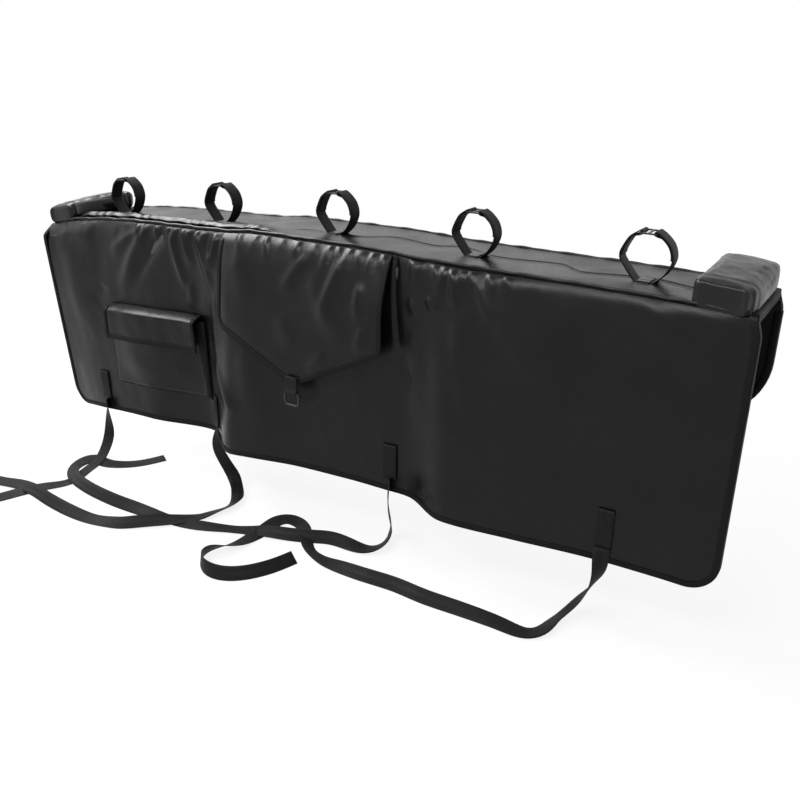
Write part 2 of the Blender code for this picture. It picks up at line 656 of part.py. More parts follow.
def ring_curve():
    """Half of a bike strap's ring, from the middle of its base to the slider bar."""
    half = [(x, 0.0, z) for x, z in RING_HALF]
    away = np.array([cos(RING_LEAN), 0, -sin(RING_LEAN)])
    up = np.array([sin(RING_LEAN), 0, cos(RING_LEAN)])
    bar = np.array([RING_BAR_X, 0, RING_BAR_Z])
    wrap = BAR_WIDTH * 0.66 + TOUCH + WEB_THICK / 2
    outer = spline(half + [tuple(bar + up * wrap)], 0.011)
    outer[:, 2] = np.maximum(outer[:, 2], 0)
    turns = np.linspace(0, pi, 6)[1:]
    fold = np.array([bar + wrap * (cos(a) * up - sin(a) * away) for a in turns])
    back = outer[::-1]
    gone = np.concatenate([[0], np.cumsum(np.linalg.norm(np.diff(back, axis=0), axis=1))])
    tangent = unit(np.gradient(back, axis=0))
    inward = np.stack([-tangent[:, 2], np.zeros(len(back)), tangent[:, 0]], 1)
    inward *= np.sign((inward @ np.array([-1.0, 0, 0])).sum())
    apart = 2 * wrap + (WEB_THICK + 2 * TOUCH - 2 * wrap) * ease(gone / 0.012)
    inner = (back + inward * apart[:, None])[(gone > 0.004) & (gone < RING_FOLD_BACK)]
    return np.vstack([outer, fold, inner])


def bike_straps():
    """Five frame straps: webbing ring, three-bar slider and the keeper that sews it down."""
    half = ring_curve()
    whole = np.vstack([(half * (-1, 1, 1))[:0:-1], half])
    slot = (RING_BAR_X - BAR_WIDTH) / 2
    slot_middle = RING_BAR_X / 2
    outline = rounded_box_outline(RING_BAR_X + BAR_WIDTH / 2, SLIDER_HALF_WIDTH, 0.0015)
    holes = [rounded_box_outline(slot, SLOT_WIDTH / 2, 0.0008, (s * slot_middle, 0))
             for s in (-1, 1)]
    for k in range(STRAP_COUNT):
        x = STRAP_MIDDLE_X + (k - (STRAP_COUNT - 1) / 2) * STRAP_PITCH
        under = max(sag(x), 0)
        lean = (sag(x - KEEPER_WIDTH / 2) - sag(x + KEEPER_WIDTH / 2)) / KEEPER_WIDTH
        base = np.array([x, STRAP_Y, TOP_STACK - under + TOUCH * 2 + WEB_THICK / 2])
        path = whole + base + np.stack([whole[:, 2] * 0, whole[:, 2] * 0, whole[:, 0] * lean], 1)
        ribbon(f"bike_strap_{k + 1}", path, (0, 1, 0), WEB_WIDTH, WEB_THICK, "webbing")
        plate(f"strap_slider_{k + 1}", outline, holes, SLIDER_THICK,
              base + np.array([0, 0, RING_BAR_Z]), (0, -lean, 0), "moulded_plastic")
        low = TOP_STACK - under + TOUCH * 2 + KEEPER_THICK / 2
        high = TOP_STACK - under + TOUCH * 4 + WEB_THICK + KEEPER_THICK / 2
        step = WEB_WIDTH / 2 + 0.0015
        y = (-KEEPER_HALF, -step - 0.002, -step, step, step + 0.002, KEEPER_HALF)
        z = (low, low, high, high, low, low)
        tab = np.stack([np.full(6, x), STRAP_Y + np.array(y), z], 1)
        ribbon(f"strap_keeper_{k + 1}", tab, (1, 0, lean), KEEPER_WIDTH, KEEPER_THICK,
               "coated_fabric")


def flap_forward(x, drop):
    """The access flap's place in front of the panel: it lifts off towards its right side."""
    across = (x - FLAP_LEFT) / (FLAP_RIGHT - FLAP_LEFT)
    lift = FLAP_LIFT * ease(across * 0.9 + 0.1) * ease(drop / 0.10)
    gather = pucker(x, drop, FLAP_PUCKERS)
    return front_forward(x, drop) + FLAP_STANDOFF * ease(drop / 0.03) + gather + lift + TOUCH


FLAP_ROWS = (SEAM_GAP, 0.014, 0.030, 0.055)


def flap_low(x):
    """Drop of the access flap's lower edge: straight sides, slopes and a rounded tip."""
    points = ((FLAP_LEFT, FLAP_SIDE_DROP), (FLAP_LEFT + 0.010, FLAP_SIDE_DROP + 0.014),
              (FLAP_TIP_X - FLAP_TIP_HALF, FLAP_TIP_DROP - 0.003), (FLAP_TIP_X, FLAP_TIP_DROP),
              (FLAP_TIP_X + FLAP_TIP_HALF, FLAP_TIP_DROP - 0.003),
              (FLAP_RIGHT - 0.010, FLAP_SIDE_DROP + 0.012), (FLAP_RIGHT, FLAP_SIDE_DROP))
    return np.interp(x, *np.array(points).T)


def flap_point(x, drop):
    """A point of the access flap's outer surface."""
    y = -HALF_DEPTH - flap_forward(x, drop) - FLAP_THICK
    return np.stack(np.broadcast_arrays(x, y, TOP_STACK - sag(x) - drop), -1)


def access_flap():
    """The flap over the access window, with its edge tape, tip tab and pull ring."""
    side = 0.010
    marks = (FLAP_LEFT, FLAP_LEFT + side, FLAP_TIP_X - FLAP_TIP_HALF, FLAP_TIP_X,
             FLAP_TIP_X + FLAP_TIP_HALF, FLAP_RIGHT - side, FLAP_RIGHT)
    runs = [np.linspace(a, b, max(1, round((b - a) / PUCKER_STEP)), endpoint=False)
            for a, b in zip(marks[:-1], marks[1:])]
    columns = np.concatenate(runs + [[FLAP_RIGHT]])
    x = columns[:, None]
    top = np.broadcast_to(np.array(FLAP_ROWS), (len(columns), len(FLAP_ROWS)))
    share = np.linspace(0, 1, 5)[None, 1:]
    down = np.hstack([top, FLAP_ROWS[-1] + (flap_low(x) - FLAP_ROWS[-1]) * share])
    grid = flap_point(np.broadcast_to(x, down.shape), down)
    sheet("access_flap", grid, (0, -1, 0), FLAP_THICK, "coated_fabric")
    edge_tape("access_flap_tape", *rim_path(grid[:, 1:]), FLAP_THICK - TAPE_EASE + 2 * TOUCH)
    tip = flap_point(FLAP_TIP_X, FLAP_TIP_DROP)
    start = tip + np.array([0, -TIP_STANDOFF, TIP_TAB_START])
    folded_tab("flap_tip_tab", start, np.array([0, 0, -1.0]), np.array([0, -1.0, 0]),
               TIP_TAB_LENGTH + TIP_TAB_START)
    hanging_plate("flap_tip_ring", start, np.array([0, -1.0, 0]),
                  TIP_TAB_LENGTH + TIP_TAB_START, TIP_RING_LENGTH, 1)


WRAP = BAR_WIDTH * 0.66 + TOUCH + WEB_THICK / 2


def folded_tab(name, start, down, out, length):
    """A webbing tab doubled round a bar: down behind it, round it and back up in front."""
    rest = TOUCH + WEB_THICK / 2
    behind = [(0.0, rest), (length * 0.6, rest), (length - 0.004, rest), (length, rest)]
    turn = [(length + WRAP * sin(a), rest + WRAP * (1 - cos(a)))
            for a in np.linspace(0, pi, 6)[1:]]
    before = [(length - 0.010, rest + WEB_THICK + 3 * TOUCH), (0.0, rest + WEB_THICK + 2 * TOUCH)]
    path = [start + down * a + out * b for a, b in behind + turn + before]
    ribbon(name, path, (1, 0, 0), WEB_WIDTH, WEB_THICK, "webbing")


def hanging_plate(name, start, out, length, plate_length, openings):
    """A moulded ring or buckle that hangs from a folded tab by its top bar."""
    middle = TOUCH + WEB_THICK / 2 + WRAP
    half = plate_length / 2
    centre = start + np.array([0, 0, -(length + half - BAR_WIDTH / 2)]) + out * middle
    inner = plate_length - 2 * BAR_WIDTH
    each = (inner - (openings - 1) * BAR_WIDTH) / openings
    holes = []
    for k in range(openings):
        y = half - BAR_WIDTH - each / 2 - k * (each + BAR_WIDTH)
        holes.append(rounded_box_outline(SLOT_WIDTH / 2, each / 2, 0.0008, (0, y)))
    outline = rounded_box_outline(SLIDER_HALF_WIDTH, half, 0.002)
    plate(name, outline, holes, SLIDER_THICK, centre, (pi / 2, 0, 0), "moulded_plastic")


def pocket_point(x, drop, forward):
    y = -HALF_DEPTH - front_forward(x, drop) - forward
    return np.stack(np.broadcast_arrays(x, y, TOP_STACK - sag(x) - drop), -1)


def tool_pocket():
    """The tool pocket: a bellows body open at its top, and the flap that hangs over it."""
    edge = np.array([0, 0.012, 0.05, 0.2, 0.4, 0.6, 0.8, 0.95, 0.988, 1.0])
    columns = POCKET_LEFT + (POCKET_RIGHT - POCKET_LEFT) * edge
    rows = POCKET_TOP + (POCKET_BOTTOM - POCKET_TOP) * np.array([0, 0.33, 0.66, 0.94, 0.985, 1])
    x, drop = np.meshgrid(columns, rows, indexing="ij")
    side = np.minimum(x - POCKET_LEFT, POCKET_RIGHT - x)
    wall = ease(side / 0.010) * ease((POCKET_BOTTOM - drop) / 0.008)
    belly = ease(side / 0.08) * ease((POCKET_BOTTOM - drop) / 0.06)
    forward = COVER_THICK + 2 * TOUCH + POCKET_DEPTH * (0.45 * wall + 0.55 * belly)
    sheet("pocket_body", pocket_point(x, drop, forward), (0, -1, 0), COVER_THICK,
          "coated_fabric")
    left, right = POCKET_LEFT - POCKET_FLAP_OVERHANG, POCKET_RIGHT + POCKET_FLAP_OVERHANG
    columns = np.linspace(left, right, 11)
    share = np.array([0, 0.10, 0.22, 0.4, 0.6, 0.8, 1.0])
    x, part = np.meshgrid(columns, share, indexing="ij")
    drop = POCKET_FLAP_TOP + POCKET_FLAP_DROP * part ** 1.25
    forward = FLAP_THICK - TOUCH + POCKET_FLAP_STANDOFF * ease(part / 0.45) ** 0.6
    grid = pocket_point(x, drop, forward)
    sheet("pocket_flap", grid, (0, -1, 0), FLAP_THICK, "coated_fabric")
    edge_tape("pocket_flap_tape", *rim_path(grid[:, 1:]), FLAP_THICK - TAPE_EASE + 2 * TOUCH)


def hold_downs():
    """Sewn anchors and free straps on the front, buckle tabs and buckles on the back."""
    for k, x in enumerate(ANCHOR_X):
        drop = np.linspace(ANCHOR_TOP, ANCHOR_TOP + ANCHOR_LENGTH, 4)
        side = unit(front_point(x + 0.004, drop[1]) - front_point(x - 0.004, drop[1]))
        normal = np.array([side[1], -side[0], 0])
        bow = abs(front_forward(x + WEB_WIDTH / 2, drop) + front_forward(x - WEB_WIDTH / 2, drop)
                  - 2 * front_forward(x, drop)).max() / 2
        face = front_point(np.full(4, x), drop)
        path = face + normal * (3 * TOUCH + bow + WEB_THICK)
        ribbon(f"strap_anchor_{k + 1}", path, side, WEB_WIDTH, 2 * WEB_THICK, "webbing")
        free_strap(k, x, path[-1], side)
        start = back_point(x, BUCKLE_TAB_TOP)
        lean = back_point(x, BUCKLE_TAB_TOP + BUCKLE_TAB_LENGTH)[1] - start[1]
        start = start + np.array([0, lean, 0])
        out = np.array([0, 1.0, 0])
        folded_tab(f"buckle_tab_{k + 1}", start, np.array([0, 0, -1.0]), out,
                   BUCKLE_TAB_LENGTH)
        hanging_plate(f"back_buckle_{k + 1}", start, out, BUCKLE_TAB_LENGTH, BUCKLE_LENGTH, 2)


def free_strap(k, x, start, side):
    """A hold-down strap: it hangs from its anchor and runs along the ground."""
    first = start + np.array([0, -0.001, -4 * TOUCH])
    foot = STRAP_ROUTES[k][0]
    hang = [first, first + np.array([0, -0.004, -0.045]),
            np.array([(x + foot[0]) / 2, (first[1] + foot[1]) / 2, GROUND_Z + 0.035])]
    lie = [np.array([a, b, GROUND_Z + WEB_THICK / 2 + lift]) for a, b, lift in STRAP_ROUTES[k]]
    path = spline(hang + lie, STRAP_STEP)
    along = unit(np.gradient(path, axis=0))
    flat = np.cross(along, (0, 0, 1.0))
    level = ease((first[2] - 0.02 - path[:, 2]) / (first[2] - 0.02 - GROUND_Z - 0.01))[:, None]
    sign = np.sign((flat[len(hang) * 2] @ side)) or 1.0
    across = unit(side * (1 - level) + sign * flat * level)
    across = unit(across - (across * along).sum(1, keepdims=True) * along)
    ribbon(f"hold_down_strap_{k + 1}", path, across, WEB_WIDTH, WEB_THICK, "webbing")


for old in list(bpy.data.objects):
    bpy.data.objects.remove(old, do_unlink=True)
pad = bpy.data.collections.new("tailgate_bike_pad")
bpy.context.scene.collection.children.link(pad)

front_panel()
window_tape()
top_section()
back_flap()
top_end_tapes()
seam_piping()
bolster(-1, "left")
bolster(1, "right")
bike_straps()
access_flap()
tool_pocket()
hold_downs()
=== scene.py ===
"""Dressed model of a padded cover that straddles a tailgate and carries bikes."""
from math import cos, pi, radians, sin

import bmesh
import bpy
import numpy as np
from mathutils import Matrix


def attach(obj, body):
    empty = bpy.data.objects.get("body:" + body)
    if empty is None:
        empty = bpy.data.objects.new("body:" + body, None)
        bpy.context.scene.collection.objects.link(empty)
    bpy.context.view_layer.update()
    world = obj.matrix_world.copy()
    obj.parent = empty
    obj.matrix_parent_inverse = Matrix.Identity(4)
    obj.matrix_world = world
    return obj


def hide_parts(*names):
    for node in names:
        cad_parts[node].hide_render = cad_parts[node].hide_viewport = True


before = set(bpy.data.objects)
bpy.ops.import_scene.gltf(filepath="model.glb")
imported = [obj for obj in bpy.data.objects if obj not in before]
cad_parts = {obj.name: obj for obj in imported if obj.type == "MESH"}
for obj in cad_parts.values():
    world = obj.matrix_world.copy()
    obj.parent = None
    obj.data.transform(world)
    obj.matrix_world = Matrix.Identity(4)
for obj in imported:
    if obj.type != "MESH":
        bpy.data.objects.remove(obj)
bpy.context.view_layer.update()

scene = bpy.context.scene
scene.view_settings.view_transform = "Standard"

# Sizes of the sewn pad, the same as the solids
HALF_LENGTH = 0.690
HALF_DEPTH = 0.0775
SIDE_FLARE = 0.007
PANEL_HALF = HALF_LENGTH + SIDE_FLARE
FRONT_DROP, BACK_DROP = 0.405, 0.205
FRONT_CORNER, BACK_CORNER = 0.045, 0.100
COVER_THICK, LINING_THICK = 0.0010, 0.0008
TOP_FOAM, PANEL_FOAM = 0.0076, 0.0060
TOUCH, LAYER_EASE, LAYER_START, TOP_EASE = 0.0003, 0.0025, 0.014, 0.0010
TAPE_THICK, TAPE_WIDTH, TAPE_EASE, TAPE_CLEAR = 0.0008, 0.0085, 0.0016, 0.0007
PIPING_RADIUS = 0.0025
SEAM_GAP = PIPING_RADIUS + 4 * TOUCH
TOP_STACK = LINING_THICK + TOUCH + TOP_FOAM + TOP_EASE + TOUCH + COVER_THICK
PANEL_STACK = COVER_THICK + LAYER_EASE + PANEL_FOAM + TOUCH + LINING_THICK

# Drape: places are shares of half the length, the rest is in metres
TOP_SAG = ((-1.00, 0.040), (-0.87, 0.025), (-0.64, 0.0125), (-0.29, 0.006), (-0.17, 0.0),
           (0.12, 0.0), (0.33, 0.0055), (0.75, 0.0085), (0.90, 0.0115), (1.00, 0.0175))
FRONT_SWAY = ((-1.00, 0.004), (-0.84, 0.020), (-0.63, 0.021), (-0.41, -0.002), (-0.235, 0.066),
              (-0.03, 0.040), (0.22, 0.023), (0.28, 0.018), (0.41, 0.055), (0.58, 0.040),
              (0.75, 0.021), (0.94, 0.008), (1.00, 0.002))
SHOULDER = ((-1.00, 0.024), (-0.72, 0.010), (0.00, 0.007), (1.00, 0.002))
SHOULDER_REACH = 0.030
BACK_SWAY = ((-1.00, 0.000), (-0.50, 0.003), (0.00, 0.001), (0.45, 0.003), (1.00, 0.000))

# Gathers beside the front seam: place along the pad, height and reach
COVER_GATHERS = ((-0.424, 3.2, 22), (-0.397, 2.6, 26), (-0.373, 3.6, 24), (-0.341, 4.2, 30),
                 (-0.322, 3.4, 28), (-0.299, 3.0, 22), (-0.283, 3.8, 26), (-0.264, 4.6, 30),
                 (-0.243, 3.4, 24), (-0.218, 3.8, 26), (0.200, 4.0, 28), (0.213, 2.6, 20),
                 (0.236, 3.0, 24), (0.258, 4.4, 30), (0.269, 2.6, 18), (0.286, 3.2, 24),
                 (0.303, 2.8, 22), (0.331, 3.8, 30), (0.345, 2.2, 18), (0.358, 2.6, 22))
FLAP_GATHERS = ((-0.152, 2.6, 24), (-0.112, 1.8, 18), (-0.091, 2.6, 26), (-0.055, 1.6, 18),
                (-0.023, 2.4, 24), (0.012, 1.6, 18), (0.045, 3.4, 26), (0.060, 2.4, 20),
                (0.085, 3.6, 28), (0.101, 2.6, 22), (0.109, 2.2, 18), (0.129, 3.2, 26),
                (0.146, 2.6, 22))

# Creases: two ends as place and drop, height (a valley is negative) and width in millimetres
COVER_CREASES = (
    (-0.528, 0.006, -0.536, 0.134, -0.8, 20), (-0.536, 0.134, -0.562, 0.172, -1.6, 14),
    (-0.398, 0.012, -0.475, 0.130, 2.8, 10), (-0.341, 0.011, -0.445, 0.127, -1.8, 8),
    (-0.329, 0.021, -0.301, 0.118, 3.0, 6), (-0.303, 0.005, -0.284, 0.066, 2.6, 6),
    (-0.264, 0.007, -0.232, 0.069, 3.4, 7), (-0.208, 0.011, -0.232, 0.069, 3.0, 7),
    (-0.420, 0.016, -0.499, 0.065, 2.2, 8), (-0.289, 0.105, -0.292, 0.150, 2.2, 7),
    (-0.250, 0.051, -0.229, 0.107, 2.4, 7), (-0.219, 0.249, -0.153, 0.322, 3.2, 9),
    (-0.134, 0.200, -0.102, 0.337, 2.4, 18), (-0.382, 0.282, -0.359, 0.317, 1.4, 9),
    (0.270, 0.008, 0.281, 0.059, 3.0, 6), (0.314, 0.020, 0.337, 0.069, 3.0, 7),
    (0.196, 0.066, 0.210, 0.084, 2.6, 6), (0.230, 0.056, 0.245, 0.072, 2.6, 6),
    (0.300, 0.060, 0.262, 0.210, 2.4, 16), (0.345, 0.050, 0.420, 0.150, 2.0, 16),
    (-0.222, 0.120, -0.212, 0.240, 2.2, 9), (-0.628, 0.060, -0.600, 0.250, 1.8, 20),
    (0.205, 0.110, 0.222, 0.260, 2.2, 14), (-0.640, 0.020, -0.560, 0.030, 1.6, 9),
    (0.167, 0.002, 0.177, 0.150, -2.6, 4), (0.177, 0.150, 0.203, 0.215, -2.0, 4),
    (0.270, 0.100, 0.290, 0.240, -2.0, 12), (0.560, 0.020, 0.655, 0.070, 1.8, 14))
FLAP_CREASES = (
    (0.000, 0.026, -0.040, 0.086, 1.8, 9), (0.073, 0.023, 0.046, 0.119, 2.4, 8),
    (0.116, 0.054, 0.117, 0.107, 2.0, 7), (0.047, 0.177, 0.018, 0.219, 1.8, 8),
    (0.127, 0.119, 0.117, 0.160, 1.8, 7), (-0.043, 0.126, -0.019, 0.183, 1.4, 14),
    (-0.150, 0.040, -0.120, 0.120, 1.2, 16), (0.020, 0.060, 0.085, 0.150, 1.6, 14))

# Second seam of the top, which wanders between the straps, and the hem beside the front seam
TOP_SEAM = ((-0.640, -0.056), (-0.450, -0.055), (-0.250, -0.052), (-0.100, -0.042), (-0.037, -0.022),
            (0.051, -0.025), (0.109, 0.005), (0.184, 0.000), (0.224, 0.021), (0.307, -0.007),
            (0.400, 0.003), (0.444, -0.023), (0.492, -0.010), (0.548, -0.002), (0.598, -0.013))

# Access window, its flap, and the tool pocket
WINDOW_SPAN = (-0.19 * HALF_LENGTH, 0.13 * HALF_LENGTH)
WINDOW_TOP, WINDOW_BOTTOM = 0.055, 0.165
FLAP_LEFT, FLAP_RIGHT = -0.195, 0.160
FLAP_SIDE_DROP, FLAP_TIP_DROP, FLAP_TIP_X, FLAP_TIP_HALF = 0.150, 0.238, -0.018, 0.022
FLAP_STANDOFF, FLAP_LIFT, FLAP_THICK = 0.0050, 0.020, 0.0016
POCKET_LEFT, POCKET_RIGHT, POCKET_TOP, POCKET_BOTTOM = -0.517, -0.262, 0.176, 0.336
POCKET_DEPTH = 0.014
POCKET_FLAP_TOP, POCKET_FLAP_DROP, POCKET_FLAP_STANDOFF = 0.164, 0.068, 0.026
POCKET_FLAP_INSET = 0.008

# Flat sizes of the cut cloths that their edges don't give, and areas without the window and the corners
POCKET_FLAT, POCKET_FLAP_FLAT_DROP = (0.275, 0.176), 0.078
FRONT_COVER_AREA, ACCESS_FLAP_AREA = 0.539, 0.0700

# Bolsters, webbing, rings and fittings
BOLSTER_WIDTH, BOLSTER_HEIGHT, BOLSTER_SETBACK, BOLSTER_OUT = 0.079, 0.038, 0.001, 0.0065
BOLSTER_VOXEL, BOLSTER_PRESSURE, BOLSTER_GIVE = 0.0030, 3.0, 0.002
# How far a bolster's near end swings in (left and right), comes forward, and sinks with its lower edge
BOLSTER_SWING, BOLSTER_FORWARD, BOLSTER_SINK, BOLSTER_EDGE_SINK = {-1: 0.008, 1: 0.002}, 0.004, 0.005, 0.004
WEB_WIDTH, WEB_THICK = 0.025, 0.0014
RING_X = (-0.516, -0.254, 0.008, 0.270, 0.532)
STRAP_Y = -0.018
RING_LEFT = ((0.0, 0.0), (0.0100, 0.0), (0.0150, 0.0022), (0.0325, 0.0240), (0.0358, 0.0310),
             (0.0350, 0.0400), (0.0265, 0.0570), (0.0205, 0.0630))
RING_RIGHT = ((0.0, 0.0), (0.0115, 0.0), (0.0265, 0.0130), (0.0355, 0.0330), (0.0315, 0.0510),
              (0.0205, 0.0630))
RING_BAR_X, RING_BAR_Z, RING_LEAN = 0.0105, 0.0665, radians(33)
RING_FOLD_BACK, RING_THICK = 0.046, 0.0018
KEEPER_WIDTH, KEEPER_HALF, KEEPER_THICK = 0.018, 0.021, 0.0010
BAR_WIDTH = 0.0024
WRAP = BAR_WIDTH * 0.66 + TOUCH + WEB_THICK / 2
ANCHOR_X = (-0.566, -0.240, 0.163, 0.537)
ANCHOR_TOP, ANCHOR_LENGTH = 0.318, 0.062
BUCKLE_TAB_TOP, BUCKLE_TAB_LENGTH = 0.120, 0.045
TIP_TAB_LENGTH, TIP_TAB_START, TIP_STANDOFF = 0.020, 0.010, 0.0021

# Free straps on the ground: x, y, lift over what lies below, and tilt towards the camera
GROUND_Z = -0.524
STRAP_ROUTES = (
    ((-0.583, -0.104, 0, 30), (-0.559, -0.140, .004, 5), (-0.553, -0.185, .001, 0),
     (-0.536, -0.241, 0, 0), (-0.566, -0.292, 0, 14), (-0.581, -0.326, 0, 18),
     (-0.600, -0.370, 0, 14), (-0.640, -0.455, 0, 8), (-0.684, -0.540, 0, 0),
     (-0.703, -0.630, 0, 0), (-0.680, -0.704, 0, 0), (-0.610, -0.746, 0, 0),
     (-0.525, -0.739, 0, 0), (-0.458, -0.690, 0, 0), (-0.432, -0.612, 0, 0),
     (-0.455, -0.530, 0, 0), (-0.520, -0.485, 0, 0), (-0.582, -0.499, 0, 0),
     (-0.604, -0.535, 0, 0)),
    ((-0.212, -0.068, 0, 25), (-0.180, -0.122, 0, 8), (-0.194, -0.168, .001, 0),
     (-0.217, -0.214, .004, 4), (-0.268, -0.268, .003, 44), (-0.305, -0.296, 0, 46),
     (-0.356, -0.312, 0, 6), (-0.416, -0.320, 0, 30), (-0.496, -0.318, .001, 44),
     (-0.545, -0.312, .004, 36), (-0.600, -0.310, .004, 20), (-0.661, -0.319, 0, 12),
     (-0.740, -0.333, 0, 4), (-0.812, -0.358, 0, 0), (-0.860, -0.418, 0, 0),
     (-0.870, -0.497, 0, 0), (-0.842, -0.570, 0, 0), (-0.779, -0.606, 0, 0),
     (-0.760, -0.607, 0, 0)),
    ((0.123, -0.031, 0, -20), (0.143, -0.059, 0, -14), (0.149, -0.090, 0, -8),
     (0.137, -0.113, 0, 0), (0.105, -0.123, 0, 26), (0.054, -0.126, 0, 46),
     (0.017, -0.144, 0, 46), (-0.022, -0.162, .002, 42), (-0.061, -0.175, .004, 32),
     (-0.102, -0.184, .002, 0), (-0.136, -0.199, 0, -10), (-0.184, -0.222, 0, 24),
     (-0.249, -0.234, 0, -4), (-0.318, -0.244, 0, 34), (-0.396, -0.249, 0, 46),
     (-0.480, -0.244, .002, 38), (-0.548, -0.225, .004, 20), (-0.583, -0.187, .002, 14),
     (-0.577, -0.150, 0, 30), (-0.532, -0.148, 0, 10), (-0.485, -0.114, 0, 6),
     (-0.454, -0.061, 0, 6)),
    ((0.483, -0.075, 0, 10), (0.485, -0.121, 0, 0), (0.481, -0.152, 0, 0),
     (0.457, -0.172, 0, 6), (0.408, -0.173, 0, 20), (0.349, -0.177, 0, 32),
     (0.284, -0.182, 0, 38), (0.224, -0.180, 0, 38), (0.167, -0.186, 0, 40),
     (0.102, -0.187, 0, 22), (0.052, -0.179, .001, -4), (0.023, -0.160, .004, 12),
     (-0.014, -0.122, .003, 14), (-0.055, -0.108, 0, 10), (-0.074, -0.132, 0, 22),
     (-0.070, -0.165, 0, 30), (-0.076, -0.204, 0, 14), (-0.083, -0.242, 0, -24),
     (-0.105, -0.273, 0, -44), (-0.098, -0.302, 0, -56), (-0.066, -0.320, 0, 58),
     (-0.033, -0.316, 0, 56), (-0.003, -0.293, 0, 50), (0.022, -0.253, 0, 46),
     (0.036, -0.210, 0, 40)),
)
HANG_TURN = (0, 10, 84, 30)
# Spacing of a strap's points, how many of them may hang, and how many its turn at the floor is spread over
STRAP_STEP, FOOT_WITHIN, FOOT_SPREAD = 0.006, 60, 12
# Where a strap shows its narrow side to the camera: point and share
EDGE_ON = (((0, 0.9), (1, 0.75), (2, 0.4)),
           ((0, 0.6), (3, 0.3), (4, 0.8), (5, 0.95), (6, 0.6)),
           ((0, 0.9), (1, 0.95), (2, 1.0), (3, 1.0), (4, 1.0), (5, 1.0), (6, 0.95), (7, 0.6)),
           ((2, 0.3), (3, 0.8), (4, 1.0), (5, 0.9), (6, 0.4), (14, 0.9), (15, 0.6)))

# Camera of the photograph: place, turn round the object, tilt down, roll and lens
CAMERA_PLACE = (0.84975, -1.115995, 0.290779)
CAMERA_AZIMUTH, CAMERA_TILT, CAMERA_ROLL = radians(33.21587), radians(22.9617), radians(-0.17412)
CAMERA_LENS = 36.882
# Strength of the white world as light and as the background that rays meet
WORLD_LIGHT, WORLD_SEEN = 0.55, 1.0


# Shape formulas

def smooth_through(points, at):
    """Monotone cubic through given points: Hermite pieces with harmonic-mean slopes, so no overshoot."""
    px, py = np.array(points, float).T
    step = np.diff(px)
    rise = np.diff(py) / step
    slope = np.zeros_like(py)
    same = rise[:-1] * rise[1:] > 0
    mean = 2 * rise[:-1] * rise[1:] / np.where(same, rise[:-1] + rise[1:], 1)
    slope[1:-1] = np.where(same, mean, 0)
    slope[0], slope[-1] = rise[0], rise[-1]
    at = np.clip(at, px[0], px[-1])
    k = np.clip(np.searchsorted(px, at, side="right") - 1, 0, len(step) - 1)
    t = (at - px[k]) / step[k]
    h = step[k]
    return (py[k] * (1 + 2 * t) * (1 - t) ** 2 + slope[k] * h * t * (1 - t) ** 2
            + py[k + 1] * t * t * (3 - 2 * t) + slope[k + 1] * h * t * t * (t - 1))


def ease(t):
    """0 to 1 with flat ends: t squared times (3 - 2 t)."""
    t = np.clip(t, 0, 1)
    return t * t * (3 - 2 * t)


def hump(t, width):
    """A bell: exp(-(t / width)^2)."""
    return np.exp(-(t / width) ** 2)


def unit(v):
    """Vectors at length one."""
    return v / np.linalg.norm(v, axis=-1, keepdims=True)


def even_curve(points, step, extra=None):
    """Catmull-Rom curve through the points, sampled at an even arc length, with values carried along it."""
    p = np.array(points, float)
    if extra is not None:
        p = np.hstack([p, extra])
    p = np.vstack([2 * p[0] - p[1], p, 2 * p[-1] - p[-2]])
    t = np.linspace(0, 1, 16, endpoint=False)[:, None]
    runs = [0.5 * (2 * b + (c - a) * t + (2 * a - 5 * b + 4 * c - d) * t ** 2
                   + (3 * b - a - 3 * c + d) * t ** 3)
            for a, b, c, d in zip(p[:-3], p[1:-2], p[2:-1], p[3:])]
    fine = np.vstack(runs + [p[-2:-1]])
    along = np.concatenate([[0], np.cumsum(np.linalg.norm(np.diff(fine[:, :3], axis=0), axis=1))])
    even = np.linspace(0, along[-1], max(2, round(along[-1] / step) + 1))
    return np.stack([np.interp(even, along, column) for column in fine.T], 1)


def softened(rows, times):
    """Rounds a row of values by (before + 2 here + after) / 4, many times over; the two ends stay."""
    rows = np.array(rows, float)
    for _ in range(times):
        rows[1:-1] = (rows[:-2] + 2 * rows[1:-1] + rows[2:]) / 4
    return rows


def smooth_twist(path, across, times):
    """Directions across a band: `across` read as an angle in a frame carried along the path without
    twist, the angle rounded, and turned back into a direction."""
    along = unit(np.gradient(path, axis=0))
    first = [unit(np.cross(along[0], (0.3, 0.2, 1.0)))]
    for way in along[1:]:
        first.append(unit(first[-1] - (first[-1] @ way) * way))
    first = np.array(first)
    second = np.cross(along, first)
    angle = np.unwrap(2 * np.arctan2((across * second).sum(1), (across * first).sum(1))) / 2
    angle = softened(angle, times)[:, None]
    return first * np.cos(angle) + second * np.sin(angle)


def arc_length(path):
    """Distance along a path at each of its points."""
    return np.concatenate([[0], np.cumsum(np.linalg.norm(np.diff(path, axis=0), axis=1))])


def sag(x):
    """How far the top has dropped at x."""
    return smooth_through(TOP_SAG, np.asarray(x) / HALF_LENGTH)


def front_forward(x, drop):
    """How far the front panel stands forward: its folds grow with drop, its shoulder dies out with drop."""
    share = x / HALF_LENGTH
    down = np.clip(drop / FRONT_DROP, 0, 1)
    fold = smooth_through(FRONT_SWAY, share) * down * (1.35 - 0.35 * down)
    return fold + smooth_through(SHOULDER, share) * ease(drop / SHOULDER_REACH) * (1 - down)


